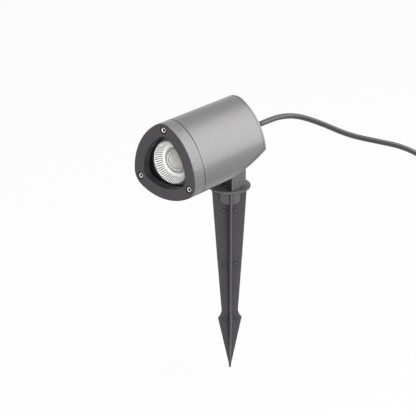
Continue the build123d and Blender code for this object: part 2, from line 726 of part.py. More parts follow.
wire_v = BLOCK_V - 1.0
for name, x, pin_x in (
    ("live_wire", CORE_X[0], -LAMP_PIN_SPACING / 2),
    ("neutral_wire", CORE_X[1], LAMP_PIN_SPACING / 2),
):
    wire_points = [
        (x, BLOCK_FRONT_Y, HEAD_AXIS_Z + wire_v),
        (x, BLOCK_FRONT_Y - 13.0, HEAD_AXIS_Z + wire_v),
        (pin_x, BLOCK_FRONT_Y - 19.0, HEAD_AXIS_Z),
        (pin_x, HOLDER_REAR_Y - 4.0, HEAD_AXIS_Z),
    ]
    keep_part(tube_along(wire_points, [5.0, 5.0], CORE_RADIUS), name)

EARTH_POST = (22.0, 8.0)
with BuildPart() as earth_screw:
    with Locations(
        Plane(
            origin=(EARTH_POST[0], COVER_INNER_Y, HEAD_AXIS_Z + EARTH_POST[1]),
            z_dir=(0, -1, 0),
        )
    ):
        Cylinder(1.5, 3.0, align=(Align.CENTER, Align.CENTER, Align.MIN))
        Cylinder(2.8, 0.8, align=(Align.CENTER, Align.CENTER, Align.MIN))
        with Locations((0, 0, 3.0)):
            Cylinder(3.0, 2.0, align=(Align.CENTER, Align.CENTER, Align.MIN))
keep_part(earth_screw.part, "earth_screw")

earth_points = [
    (CORE_X[2], BLOCK_FRONT_Y, HEAD_AXIS_Z + wire_v),
    (CORE_X[2], BLOCK_FRONT_Y - 6.0, HEAD_AXIS_Z + wire_v),
    (15.0, BLOCK_FRONT_Y - 6.0, HEAD_AXIS_Z + wire_v - 3.0),
    (EARTH_POST[0], BLOCK_FRONT_Y + 2.0, HEAD_AXIS_Z + EARTH_POST[1]),
    (EARTH_POST[0], COVER_INNER_Y - 5.0, HEAD_AXIS_Z + EARTH_POST[1]),
]
keep_part(tube_along(earth_points, [2.5, 2.5, 2.5], CORE_RADIUS), "earth_wire")

# ---------------------------------------------------------------- the lead
coil_x, coil_y = COIL_CENTRE
layer_one_z = FLOOR_Z + COIL_LIFT + CORD_RADIUS
layer_two_z = layer_one_z + COIL_PITCH
COIL_START = (coil_x + COIL_OUTER_RADIUS, coil_y - 2 * CORD_RADIUS, layer_one_z)

RUN_POINTS = [
    (0, GLAND_END_Y, HEAD_AXIS_Z),
    (0, 78, HEAD_AXIS_Z),
    (1, 103, 61.2),
    (7, 131, 55.6),
    (22, 161, 40.5),
    (43, 192, 20.5),
    (66, 222, 9.0),
    (88, 254, -3.0),
    (104, 290, -27),
    (115, 318, -66),
    (121, 338, -118),
    (123, 354, -170),
    (125, 378, -217),
    (127, 412, layer_one_z),
    COIL_START,
]


def report_tube(name, points, radii, tube, radius):
    """Print a tube's tightest arc, its length and how its volume compares with length times section."""
    with BuildLine() as route:
        FilletPolyline(*points, radius=radii)
    length = route.wires()[0].length
    share = tube.volume / (length * math.pi * radius**2)
    shown = ", ".join(f"{r:.0f}" for r in radii)
    print(f"{name}: radii {shown} mm, length {length:.1f} mm, volume / (section x length) {share:.4f}")
    return length


run_radii = corner_radii(RUN_POINTS)
cord_run = tube_along(RUN_POINTS, run_radii, CORD_RADIUS)
run_length = report_tube("cord_run", RUN_POINTS, run_radii, cord_run, CORD_RADIUS)
keep_part(cord_run, "cord_run")

INWARD_HALF_TURNS = 5
OUTWARD_HALF_TURNS = 4


def coil_wire():
    """Half turns that spiral in on the floor, one that climbs, and half turns that spiral out on top."""
    y = coil_y
    x = coil_x + COIL_OUTER_RADIUS
    radius = COIL_OUTER_RADIUS
    side = 1
    Line((x, y - 2 * CORD_RADIUS, layer_one_z), (x, y, layer_one_z))
    for _ in range(INWARD_HALF_TURNS):
        ThreePointArc(
            (x, y, layer_one_z),
            (x - side * radius, y + side * radius, layer_one_z),
            (x - side * 2 * radius, y, layer_one_z),
        )
        x -= side * 2 * radius
        side = -side
        radius -= COIL_PITCH / 2
    middle = (
        x - side * radius,
        y + side * math.hypot(radius, COIL_PITCH / 2),
        (layer_one_z + layer_two_z) / 2,
    )
    TangentArc((x, y, layer_one_z), middle, tangent=(0, side, 0))
    x -= side * 2 * radius
    TangentArc((x, y, layer_two_z), middle, tangent=(0, side, 0))
    side = -side
    for _ in range(OUTWARD_HALF_TURNS):
        radius += COIL_PITCH / 2
        ThreePointArc(
            (x, y, layer_two_z),
            (x - side * radius, y + side * radius, layer_two_z),
            (x - side * 2 * radius, y, layer_two_z),
        )
        x -= side * 2 * radius
        side = -side
    Line((x, y, layer_two_z), (x, y + 2 * CORD_RADIUS, layer_two_z))
    return x


with BuildPart() as cord_coil:
    with BuildLine() as coil_route:
        coil_end_x = coil_wire()
    with BuildSketch(Plane(origin=COIL_START, z_dir=(0, 1, 0))):
        Circle(CORD_RADIUS)
    sweep(path=coil_route.wires()[0])
coil_length = coil_route.wires()[0].length
print(
    f"cord_coil: length {coil_length:.1f} mm, volume / (section x length)"
    f" {cord_coil.part.volume / (coil_length * math.pi * CORD_RADIUS**2):.4f}"
)
keep_part(cord_coil.part, "cord_coil")


def least_gap(wire, clear_of):
    """The least space between the surfaces of turns that lie further apart along the wire than clear_of."""
    count = int(wire.length / 2)
    points = [wire @ (k / count) for k in range(count + 1)]
    skip = int(clear_of / 2)
    least = min(
        (one - two).length for k, one in enumerate(points) for two in points[k + skip :]
    )
    return least - 2 * CORD_RADIUS


print(f"cord_coil: least gap to itself {least_gap(coil_route.wires()[0], 60):.2f} mm")

PLUG_AXIS_Z = FLOOR_Z + PLUG_RADIUS
TAIL_POINTS = [
    (coil_end_x, coil_y + 2 * CORD_RADIUS, layer_two_z),
    (coil_end_x, coil_y + 36, layer_two_z),
    (coil_end_x - 14, coil_y + 61, layer_two_z + 4.0),
    (coil_end_x - 39, coil_y + 76, PLUG_AXIS_Z - 0.5),
    (coil_end_x - 66, coil_y + 77, PLUG_AXIS_Z),
]
tail_radii = corner_radii(TAIL_POINTS)
cord_tail = tube_along(TAIL_POINTS, tail_radii, CORD_RADIUS)
tail_length = report_tube("cord_tail", TAIL_POINTS, tail_radii, cord_tail, CORD_RADIUS)
keep_part(cord_tail, "cord_tail")
print(f"free lead: {run_length + coil_length + tail_length:.0f} mm")

TIE_WIDTH = 12.0
TIE_THICKNESS = 0.7
bundle_left = coil_x - COIL_OUTER_RADIUS - CORD_RADIUS - 0.2
bundle_right = coil_x - COIL_OUTER_RADIUS + 2 * COIL_PITCH + CORD_RADIUS + 0.8
bundle_height = COIL_PITCH + 2 * CORD_RADIUS + 0.3
with BuildPart() as coil_tie:
    with BuildSketch(
        Plane(
            origin=((bundle_left + bundle_right) / 2, coil_y + TIE_WIDTH / 2, FLOOR_Z + 0.15),
            x_dir=(1, 0, 0),
            z_dir=(0, -1, 0),
        )
    ):
        with Locations((0, (bundle_height + 2 * TIE_THICKNESS) / 2)):
            RectangleRounded(
                bundle_right - bundle_left + 2 * TIE_THICKNESS,
                bundle_height + 2 * TIE_THICKNESS,
                3.6,
            )
            RectangleRounded(
                bundle_right - bundle_left, bundle_height, 2.9, mode=Mode.SUBTRACT
            )
    extrude(amount=TIE_WIDTH)
keep_part(coil_tie.part, "coil_tie")

# ---------------------------------------------------------------- the plug
last_run = Vector(TAIL_POINTS[-1]) - Vector(TAIL_POINTS[-2])
PLUG_PLANE = Plane(origin=TAIL_POINTS[-1], x_dir=(0, 0, 1), z_dir=last_run.normalized())
PLUG_AXIS = Axis(PLUG_PLANE.origin, PLUG_PLANE.z_dir)
SLEEVE_LENGTH = 26.0
PLUG_FACE = 66.0
PLUG_PIN_RADIUS = 2.4
PLUG_PIN_LENGTH = 19.0
PLUG_PIN_SUNK = 12.0
PLUG_PIN_SHANK_RADIUS = 1.9
PLUG_PIN_SPACING = 19.0
EARTH_CLIP_X = 16.4
EARTH_RECESS_DEPTH = 14.0


def plug_section():
    """The plane through the plug's axis, local x outwards and local y from the lead to the pins."""
    return Plane(
        origin=PLUG_PLANE.origin,
        x_dir=PLUG_PLANE.x_dir,
        z_dir=PLUG_PLANE.x_dir.cross(PLUG_PLANE.z_dir),
    )


with BuildPart() as plug_sleeve:
    with BuildSketch(plug_section()):
        with BuildLine():
            Polyline(
                (0, 0),
                (4.2, 0),
                (6.6, SLEEVE_LENGTH - 3.0),
                (6.6, SLEEVE_LENGTH),
                (0, SLEEVE_LENGTH),
                (0, 0),
            )
        make_face()
    revolve(axis=PLUG_AXIS)
keep_part(plug_sleeve.part, "plug_sleeve")

with BuildPart() as plug_body:
    with BuildSketch(plug_section()):
        with BuildLine():
            neck = Line((0, SLEEVE_LENGTH), (9.0, SLEEVE_LENGTH))
            collar = Line(neck @ 1, (11.0, SLEEVE_LENGTH + 1.5))
            waist = Spline(
                collar @ 1, (12.4, SLEEVE_LENGTH + 12.0), (17.2, SLEEVE_LENGTH + 22.0)
            )
            shoulder = Line(waist @ 1, (PLUG_RADIUS, SLEEVE_LENGTH + 24.0))
            rim = Line(shoulder @ 1, (PLUG_RADIUS, PLUG_FACE - 1.2))
            edge = Line(rim @ 1, (PLUG_RADIUS - 1.2, PLUG_FACE))
            face = Line(edge @ 1, (0, PLUG_FACE))
            Line(face @ 1, neck @ 0)
        make_face()
    revolve(axis=PLUG_AXIS)
    with BuildSketch(PLUG_PLANE.offset(PLUG_FACE)):
        for turn in (1, -1):
            with Locations((turn * (EARTH_CLIP_X + 1.6), 0)):
                Rectangle(4.4, 6.0)
    extrude(amount=-EARTH_RECESS_DEPTH, mode=Mode.SUBTRACT)
    with BuildSketch(PLUG_PLANE.offset(PLUG_FACE)):
        with Locations((0, PLUG_PIN_SPACING / 2), (0, -PLUG_PIN_SPACING / 2)):
            Circle(PLUG_PIN_SHANK_RADIUS + RUNNING_GAP)
    extrude(amount=-PLUG_PIN_SUNK, mode=Mode.SUBTRACT)
keep_part(plug_body.part, "plug_body")

with BuildPart() as plug_pins:
    with BuildSketch(PLUG_PLANE.offset(PLUG_FACE)):
        with Locations((0, PLUG_PIN_SPACING / 2), (0, -PLUG_PIN_SPACING / 2)):
            Circle(PLUG_PIN_RADIUS)
    extrude(amount=PLUG_PIN_LENGTH)
    fillet(plug_pins.edges().filter_by(GeomType.CIRCLE).group_by(PLUG_AXIS)[-1], 1.2)
    with BuildSketch(PLUG_PLANE.offset(PLUG_FACE)):
        with Locations((0, PLUG_PIN_SPACING / 2), (0, -PLUG_PIN_SPACING / 2)):
            Circle(PLUG_PIN_SHANK_RADIUS)
    extrude(amount=-PLUG_PIN_SUNK)
keep_part(plug_pins.part, "plug_pins")

with BuildPart() as plug_earth_clips:
    with BuildSketch(PLUG_PLANE.offset(PLUG_FACE - EARTH_RECESS_DEPTH)):
        for turn in (1, -1):
            with Locations((turn * EARTH_CLIP_X, 0)):
                Rectangle(0.8, 4.6)
    extrude(amount=EARTH_RECESS_DEPTH - 1.0)
keep_part(plug_earth_clips.part, "plug_earth_clips")
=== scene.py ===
import bmesh, bpy, json, math
from mathutils import Matrix, Vector
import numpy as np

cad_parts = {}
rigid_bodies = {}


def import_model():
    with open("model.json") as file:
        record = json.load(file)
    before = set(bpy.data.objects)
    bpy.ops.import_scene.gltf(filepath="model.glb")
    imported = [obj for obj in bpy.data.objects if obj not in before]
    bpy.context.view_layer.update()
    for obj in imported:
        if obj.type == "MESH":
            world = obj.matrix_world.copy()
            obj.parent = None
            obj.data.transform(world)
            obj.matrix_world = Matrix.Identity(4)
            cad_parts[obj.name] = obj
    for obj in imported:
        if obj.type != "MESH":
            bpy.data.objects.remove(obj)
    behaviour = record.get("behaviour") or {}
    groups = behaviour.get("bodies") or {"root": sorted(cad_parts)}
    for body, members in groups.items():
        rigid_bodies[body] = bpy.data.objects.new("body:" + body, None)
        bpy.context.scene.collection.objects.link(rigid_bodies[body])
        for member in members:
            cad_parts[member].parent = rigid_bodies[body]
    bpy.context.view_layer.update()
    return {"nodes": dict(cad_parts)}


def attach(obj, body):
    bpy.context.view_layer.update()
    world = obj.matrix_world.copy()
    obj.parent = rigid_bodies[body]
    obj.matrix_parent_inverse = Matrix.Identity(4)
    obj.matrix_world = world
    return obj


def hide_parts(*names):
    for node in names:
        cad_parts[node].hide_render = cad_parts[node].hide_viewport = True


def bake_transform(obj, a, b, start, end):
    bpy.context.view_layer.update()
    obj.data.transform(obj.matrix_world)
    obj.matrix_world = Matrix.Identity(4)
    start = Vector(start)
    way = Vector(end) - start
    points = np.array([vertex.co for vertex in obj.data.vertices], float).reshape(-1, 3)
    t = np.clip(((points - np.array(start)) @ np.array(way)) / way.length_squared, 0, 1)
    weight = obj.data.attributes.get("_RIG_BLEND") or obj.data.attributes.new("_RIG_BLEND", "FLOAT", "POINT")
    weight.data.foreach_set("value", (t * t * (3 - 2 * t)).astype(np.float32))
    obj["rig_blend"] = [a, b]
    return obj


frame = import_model()
nodes = frame["nodes"]
MM = 0.001
# Corners this near to each other, in mm, are made one: where lines meet, and after a cut.
WELD, CUT_WELD = 0.002, 0.01

# ---------------------------------------------------------------- camera
# It stands where the photograph's did: this azimuth, elevation and roll about the spike's top,
# and this far from it, in metres, to the left of it and below it.
AZIMUTH, ELEVATION, ROLL = map(math.radians, (39.23, 22.64, -0.59))
AWAY, LEFTWARDS, LOWER = 1.5487, 0.02584, 0.02573
FOCAL_LENGTH, SENSOR_WIDTH = 111.78, 36
back = Vector(
    (
        math.sin(AZIMUTH) * math.cos(ELEVATION),
        -math.cos(AZIMUTH) * math.cos(ELEVATION),
        math.sin(ELEVATION),
    )
)
right = Vector((math.cos(AZIMUTH), math.sin(AZIMUTH), 0))
above = back.cross(right)
turned_right = right * math.cos(ROLL) + above * math.sin(ROLL)
turned_above = above * math.cos(ROLL) - right * math.sin(ROLL)
stand = back * AWAY - right * LEFTWARDS - above * LOWER
camera_data = bpy.data.cameras.new("camera")
camera_data.lens = FOCAL_LENGTH
camera_data.sensor_width = SENSOR_WIDTH
camera_data.clip_end = 20
camera = bpy.data.objects.new("camera", camera_data)
bpy.context.scene.collection.objects.link(camera)
camera.matrix_world = Matrix(
    (
        (turned_right.x, turned_above.x, back.x, stand.x),
        (turned_right.y, turned_above.y, back.y, stand.y),
        (turned_right.z, turned_above.z, back.z, stand.z),
        (0, 0, 0, 1),
    )
)
bpy.context.scene.camera = camera


# ---------------------------------------------------------------- modelling by hand, in millimetres
def new_piece(name):
    """An empty piece, open in edit mode."""
    bpy.ops.object.select_all(action="DESELECT")
    bpy.ops.mesh.primitive_plane_add(size=MM)
    piece = bpy.context.object
    piece.name = name
    bpy.ops.object.mode_set(mode="EDIT")
    bpy.ops.mesh.select_all(action="SELECT")
    bpy.ops.mesh.delete(type="VERT")
    return piece


def start_line(place):
    """One loose, selected vertex in the mesh being edited."""
    bpy.ops.mesh.select_mode(type="VERT")
    bpy.ops.mesh.select_all(action="DESELECT")
    bpy.ops.mesh.primitive_plane_add(size=MM, location=Vector(place) * MM)
    bpy.ops.mesh.merge(type="CENTER")


def draw_line(points):
    """A line through these places, its last vertex left selected."""
    start_line(points[0])
    for here, there in zip(points, points[1:]):
        step = (Vector(there) - Vector(here)) * MM
        bpy.ops.mesh.extrude_vertices_move(TRANSFORM_OT_translate={"value": step})


def swing(steps, degrees, centre, axis):
    """Sweeps what is selected about an axis, the right-handed way round."""
    bpy.ops.mesh.spin(
        steps=steps,
        angle=math.radians(degrees),
        center=Vector(centre) * MM,
        axis=tuple(-Vector(axis)),
    )


def pull(offset):
    """Extrudes the selected faces by this offset."""
    bpy.ops.mesh.extrude_region_move(TRANSFORM_OT_translate={"value": Vector(offset) * MM})


def pick(kind, test):
    """Selects the vertices or faces whose place, in millimetres, and normal pass the test."""
    bpy.ops.mesh.select_mode(type=kind)
    bpy.ops.mesh.select_all(action="DESELECT")
    shape = bmesh.from_edit_mesh(bpy.context.object.data)
    for part in shape.verts if kind == "VERT" else shape.faces:
        spot = part.co if kind == "VERT" else part.calc_center_median()
        part.select_set(test(spot / MM, part.normal))
    shape.select_flush(True)
    bmesh.update_edit_mesh(bpy.context.object.data)


def close_up():
    """Merges doubles and turns every face outwards, then leaves edit mode."""
    bpy.ops.mesh.select_all(action="SELECT")
    bpy.ops.mesh.remove_doubles(threshold=WELD * MM)
    bpy.ops.mesh.normals_make_consistent(inside=False)
    bpy.ops.object.mode_set(mode="OBJECT")


def take_up(piece):
    """Makes this the one selected and active piece."""
    bpy.ops.object.select_all(action="DESELECT")
    piece.select_set(True)
    bpy.context.view_layer.objects.active = piece


def turned(name, profile, centre, axis, steps=64):
    """A lathe piece from points of (radius, distance along the axis from the centre)."""
    axis = Vector(axis).normalized()
    side = axis.orthogonal().normalized()
    piece = new_piece(name)
    draw_line([Vector(centre) + side * radius + axis * along for radius, along in profile])
    bpy.ops.mesh.select_all(action="SELECT")
    swing(steps, 360, centre, axis)
    close_up()
    return piece


def fill_and_pull(offset):
    """Fills the outline being drawn and pulls it by the offset."""
    bpy.ops.mesh.select_all(action="SELECT")
    bpy.ops.mesh.edge_face_add()
    pull(offset)
    close_up()


def prism(name, outline, offset):
    """A closed outline of places, filled and pulled by the offset."""
    piece = new_piece(name)
    draw_line(outline)
    fill_and_pull(offset)
    return piece


def cut(piece, *tools, operation="DIFFERENCE"):
    """Cuts the tools out of the piece, or joins them to it, and does away with them."""
    take_up(piece)
    for tool in tools:
        change = piece.modifiers.new("cut", "BOOLEAN")
        change.operation = operation
        change.solver = "EXACT"
        change.object = tool
        bpy.ops.object.modifier_apply(modifier=change.name)
        bpy.data.objects.remove(tool)
        bpy.ops.object.mode_set(mode="EDIT")
        bpy.ops.mesh.select_all(action="SELECT")
        bpy.ops.mesh.remove_doubles(threshold=CUT_WELD * MM)
        bpy.ops.object.mode_set(mode="OBJECT")


def soften(piece, width, segments=2, degrees=35):
    """Rounds the piece's edges that turn by more than this."""
    take_up(piece)
    change = piece.modifiers.new("soften", "BEVEL")
    change.width = width * MM
    change.segments = segments
    change.limit_method = "ANGLE"
    change.angle_limit = math.radians(degrees)
    change.harden_normals = False
    bpy.ops.object.modifier_apply(modifier=change.name)


def copied(piece, name):
    """A copy with its own mesh."""
    twin = piece.copy()
    twin.data = piece.data.copy()
    twin.name = name
    bpy.context.scene.collection.objects.link(twin)
    return twin


def turn(piece, degrees, centre, axis):
    """Turns the piece's mesh about a centre, so that its object stays at the origin."""
    piece.data.transform(
        Matrix.Translation(Vector(centre) * MM)
        @ Matrix.Rotation(math.radians(degrees), 4, Vector(axis))
        @ Matrix.Translation(Vector(centre) * -MM)
    )


def join(name, pieces):
    """Makes one piece of several."""
    take_up(pieces[0])
    for piece in pieces[1:]:
        piece.select_set(True)
    bpy.ops.object.join()
    pieces[0].name = name
    return pieces[0]


def set_out(name, piece, places):
    """Joins a piece made at the first of these places with copies of it at the others."""
    twins = [piece]
    for place in places[1:]:
        twin = copied(piece, "twin")
        twin.data.transform(Matrix.Translation((place - places[0]) * MM))
        twins.append(twin)
    return join(name, twins)


def shade(piece, degrees=30):
    """Smooth shading, broken at edges that turn by more than this."""
    take_up(piece)
    bpy.ops.object.shade_smooth_by_angle(angle=math.radians(degrees))


def dress(piece, plain, *patches):
    """Gives a piece its plain finish, and each further finish to the faces that pass its test."""
    take_up(piece)
    piece.data.materials.clear()
    piece.data.materials.append(plain)
    for finish, _ in patches:
        piece.data.materials.append(finish)
    bpy.ops.object.mode_set(mode="EDIT")
    for slot, (_, test) in enumerate(patches, 1):
        pick("FACE", test)
        piece.active_material_index = slot
        bpy.ops.object.material_slot_assign()
    bpy.ops.object.mode_set(mode="OBJECT")


# ---------------------------------------------------------------- the head's outline
HEAD_AXIS_Z = 62.2
TRIANGLE_SIDE = 49.0
CORNER = 20.5
FRONT_Y, BEZEL_REAR_Y = -117.7, -100.2
TUBE_FRONT_Y, REAR_Y = -99.2, 12.7
CORNER_TURNS = {"lower left": 210, "lower right": 330, "top": 90}


def on_head(radius, degrees, y):
    """A place across the head, at a radius and angle from its axis."""
    angle = math.radians(degrees)
    return Vector((radius * math.cos(angle), y, HEAD_AXIS_Z + radius * math.sin(angle)))


def from_axis(place):
    """A place's radius and angle about the head's axis, in degrees."""
    return math.hypot(place.x, place.z - HEAD_AXIS_Z), math.degrees(
        math.atan2(place.z - HEAD_AXIS_Z, place.x)
    )


def head_outline(side, corner, y):
    """A closed rounded triangle of constant width, each arc swung about its own centre."""
    reach = side / math.sqrt(3)
    left, right_side, top = (on_head(reach, turn_to, y) for turn_to in CORNER_TURNS.values())
    start_line(left + Vector((-corner, 0, 0)))
    for centre, steps in (
        (left, 12), (top, 24), (right_side, 12), (left, 24), (top, 12), (right_side, 24),
    ):
        swing(steps, 60, centre, (0, -1, 0))
    bpy.ops.mesh.select_linked()
    bpy.ops.mesh.remove_doubles(threshold=WELD * MM)


def join_rings(piece, count):
    """Bridges the outlines kept in the piece's vertex groups, in order, and caps both ends."""

    def choose(*rings):
        bpy.ops.mesh.select_all(action="DESELECT")
        for ring in rings:
            piece.vertex_groups.active_index = ring
            bpy.ops.object.vertex_group_select()

    for ring in range(count - 1):
        choose(ring, ring + 1)
        bpy.ops.mesh.bridge_edge_loops()
    for ring in (0, count - 1):
        choose(ring)
        bpy.ops.mesh.edge_face_add()
    close_up()
    bpy.ops.object.vertex_group_remove(all=True)


def head_shell(name, rings):
    """A closed skin over outlines of (side, corner, y), capped at both ends."""
    piece = new_piece(name)
    for side, corner, y in rings:
        head_outline(side, corner, y)
        bpy.ops.object.vertex_group_assign_new()
    join_rings(piece, len(rings))
    return piece


def head_prism(name, corner, front, rear, bevel=0.0):
    """The head's outline as a solid from front to rear, its front edge cut back by the bevel."""
    rings = [(TRIANGLE_SIDE, corner, front + bevel), (TRIANGLE_SIDE, corner, rear)]
    if bevel:
        rings.insert(0, (TRIANGLE_SIDE, corner - bevel, front))
    return head_shell(name, rings)


# The underside of the head slopes forwards from the rear, this far for each millimetre of drop.
OBLIQUE_START_Z = HEAD_AXIS_Z - 8.9
OBLIQUE_RUN_PER_DROP = 2.735
OBLIQUE_SLOPE = math.hypot(OBLIQUE_RUN_PER_DROP, 1)
DOWN_BACK = Vector((0, 1 / OBLIQUE_SLOPE, -OBLIQUE_RUN_PER_DROP / OBLIQUE_SLOPE))
UP_BACK = Vector((0, OBLIQUE_RUN_PER_DROP / OBLIQUE_SLOPE, 1 / OBLIQUE_SLOPE))


def below_slope(depth):
    """A block that takes away all below the sloping plane, moved into the head by this depth."""
    start = Vector((-80, REAR_Y, OBLIQUE_START_Z)) - DOWN_BACK * depth
    front, rear = start - UP_BACK * 200, start + UP_BACK * 60
    low = DOWN_BACK * 120
    return prism("below_slope", [front, rear, rear + low, front + low, front], (160, 0, 0))


def rod(radius, start, end, steps=32):
    """A plain round tool from start to end."""
    run = Vector(end) - Vector(start)
    profile = [(0, 0), (radius, 0), (radius, run.length), (0, run.length)]
    return turned("rod", profile, start, run, steps)


# ---------------------------------------------------------------- bezel
SCREW_CIRCLE = 41.2
SCREW_TURNS = (90, 210, 330)
MOUTH_SIDE, MOUTH_CORNER, POCKET_CORNER = 41.2, 9.6, 13.1
LIP_Y = FRONT_Y + 8.0
EDGE_ROUND = 0.9
# Each screw's head stands in a round sink and its thread in a narrower hole.
SINK_RADIUS, SINK_DEPTH, SCREW_HOLE = 4.3, 4.6, 2.15


def rounding(side, corner, y, radius, steps=4):
    """Outlines that carry the outer wall round the front edge on to the face."""
    rings = []
    for step in range(steps + 1):
        angle = math.radians(90 * step / steps)
        rings.append(
            (side, corner - radius * (1 - math.cos(angle)), y + radius * (1 - math.sin(angle)))
        )
    return rings


bezel = head_shell(
    "front_bezel",
    [
        (TRIANGLE_SIDE, CORNER - 0.4, BEZEL_REAR_Y), (TRIANGLE_SIDE, CORNER, BEZEL_REAR_Y - 0.4),
        (TRIANGLE_SIDE, CORNER, BEZEL_REAR_Y - 0.7),
        (TRIANGLE_SIDE, CORNER, FRONT_Y + EDGE_ROUND + 0.3),
        *rounding(TRIANGLE_SIDE, CORNER, FRONT_Y, EDGE_ROUND),
        (TRIANGLE_SIDE, CORNER - EDGE_ROUND - 0.3, FRONT_Y),
    ],
)
mouth = head_shell(
    "mouth",
    [
        (MOUTH_SIDE, MOUTH_CORNER + 1.4, FRONT_Y - 1), (MOUTH_SIDE, MOUTH_CORNER, FRONT_Y + 0.4),
        (MOUTH_SIDE, MOUTH_CORNER - 1.05, LIP_Y - 1.0), (MOUTH_SIDE, MOUTH_CORNER - 1.2, LIP_Y),
        (MOUTH_SIDE, MOUTH_CORNER - 1.2, LIP_Y + 4),
    ],
)
pocket = head_shell(
    "pocket",
    [(MOUTH_SIDE, POCKET_CORNER, LIP_Y), (MOUTH_SIDE, POCKET_CORNER, BEZEL_REAR_Y + 4)],
)
cut(bezel, pocket, mouth)
sink_profile = [
    (0, -1), (SINK_RADIUS + 1.3, -1), (SINK_RADIUS + 0.3, 0), (SINK_RADIUS, 0.3),
    (SINK_RADIUS, SINK_DEPTH), (SCREW_HOLE, SINK_DEPTH), (SCREW_HOLE, 20), (0, 20),
]
for angle in SCREW_TURNS:
    cut(bezel, turned("sink", sink_profile, on_head(SCREW_CIRCLE, angle, FRONT_Y), (0, 1, 0), 48))
shade(bezel)

# ---------------------------------------------------------------- housing tube
WALL = 3.0
COVER, REAR_GASKET = 3.0, 0.6
TUBE_END_Y = REAR_Y - COVER - REAR_GASKET
# The screws' channels run all along the tube, each a wall of this radius round a threaded hole.
# Three of them meet the bezel's screws, and two more lie at the sides, this far from the axis.
CHANNEL_RADIUS, CHANNEL_HOLE, SIDE_CHANNEL = 4.8, 2.05, 36.0
FRONT_SCREWS = tuple((SCREW_CIRCLE, angle) for angle in SCREW_TURNS)
REAR_SCREWS = ((SCREW_CIRCLE, 90), (SIDE_CHANNEL, 0), (SIDE_CHANNEL, 180))
CHANNELS = FRONT_SCREWS + REAR_SCREWS[1:]


def along_the_head(radius, places, front, rear, steps=32):
    """Round tools along the head, from front to rear, at these radii and angles from its axis."""
    return [
        rod(radius, on_head(reach, angle, front), on_head(reach, angle, rear), steps)
        for reach, angle in places
    ]


tube = head_prism("head_housing", CORNER, TUBE_FRONT_Y, TUBE_END_Y, 0.4)
cavity = head_prism("cavity", CORNER - WALL, TUBE_FRONT_Y - 5, REAR_Y)
cut(cavity, *along_the_head(CHANNEL_RADIUS, CHANNELS, TUBE_FRONT_Y - 8, REAR_Y + 8))
cut(tube, cavity)
cut(
    tube,
    *along_the_head(CHANNEL_HOLE, CHANNELS, TUBE_FRONT_Y - 8, REAR_Y + 8, 16),
    below_slope(COVER + REAR_GASKET),
)
shade(tube)

# ---------------------------------------------------------------- rear cover with its lug
PIVOT = Vector((0, -3.1, 31.6))
LUG_RADIUS, LUG_HALF, LUG_LEG = 11.0, 9.15, 15.5
PIVOT_HOLE, GLAND_HOLE = 3.05, 6.05


def rounded_plate(name, centre, across, leg, axis, thickness, steps, edge):
    """A plate across the head, round about its centre on one side, with two straight sides."""
    plate = new_piece(name)
    draw_line([centre + across + leg, centre + across])
    swing(steps, 180, centre, axis)
    bpy.ops.mesh.extrude_vertices_move(TRANSFORM_OT_translate={"value": leg * MM})
    fill_and_pull((thickness, 0, 0))
    soften(plate, edge, 3)
    return plate


cover = head_prism("rear_cover", CORNER, -90, REAR_Y)
cut(cover, below_slope(0))
inside = head_prism("inside", CORNER + 5, -100, REAR_Y - COVER)
cut(inside, below_slope(COVER))
cut(cover, inside)
lug = rounded_plate(
    "lug",
    PIVOT - Vector((LUG_HALF, 0, 0)),
    UP_BACK * LUG_RADIUS,
    DOWN_BACK * -LUG_LEG,
    (-1, 0, 0),
    2 * LUG_HALF,
    24,
    0.6,
)
cut(cover, lug, operation="UNION")
cut(
    cover,
    rod(PIVOT_HOLE, PIVOT - Vector((20, 0, 0)), PIVOT + Vector((20, 0, 0))),
    rod(GLAND_HOLE, (0, REAR_Y - 10, HEAD_AXIS_Z), (0, REAR_Y + 10, HEAD_AXIS_Z)),
    *along_the_head(SCREW_HOLE, REAR_SCREWS, REAR_Y - 10, REAR_Y + 10, 16),
)
shade(cover)

# ---------------------------------------------------------------- swivel base
DISC_RADIUS, DISC_THICKNESS = 25.6, 2.7
CHEEK_RADIUS, CHEEK_OUTER, CHEEK_INNER = 13.9, 17.0, 10.0
SWIVEL_HOLE = 4.05

base = turned(
    "swivel_base",
    [
        (0, 0), (DISC_RADIUS - 0.3, 0), (DISC_RADIUS, 0.3), (DISC_RADIUS, DISC_THICKNESS - 0.6),
        (DISC_RADIUS - 0.18, DISC_THICKNESS - 0.18), (DISC_RADIUS - 0.6, DISC_THICKNESS),
        (DISC_RADIUS - 0.9, DISC_THICKNESS), (0, DISC_THICKNESS),
    ],
    (0, 0, 0),
    (0, 0, 1),
    96,
)
cheek_places = [PIVOT + Vector((x, 0, 0)) for x in (-CHEEK_OUTER, CHEEK_INNER)]
cheek = rounded_plate(
    "cheek",
    cheek_places[0],
    Vector((0, CHEEK_RADIUS, 0)),
    Vector((0, 0, DISC_THICKNESS / 2 - PIVOT.z)),
    (1, 0, 0),
    CHEEK_OUTER - CHEEK_INNER,
    32,
    0.7,
)
cut(base, set_out("cheeks", cheek, cheek_places), operation="UNION")
cut(
    base,
    rod(PIVOT_HOLE, PIVOT - Vector((30, 0, 0)), PIVOT + Vector((30, 0, 0))),
    rod(SWIVEL_HOLE, (0, 0, -5), (0, 0, DISC_THICKNESS + 5)),
)
shade(base)

# ---------------------------------------------------------------- finishes
def colour(code):
    """A colour written in sRGB hex, turned to linear."""
    parts = [int(code[k : k + 2], 16) / 255 for k in (1, 3, 5)]
    return (*(p / 12.92 if p <= 0.04045 else ((p + 0.055) / 1.055) ** 2.4 for p in parts), 1)


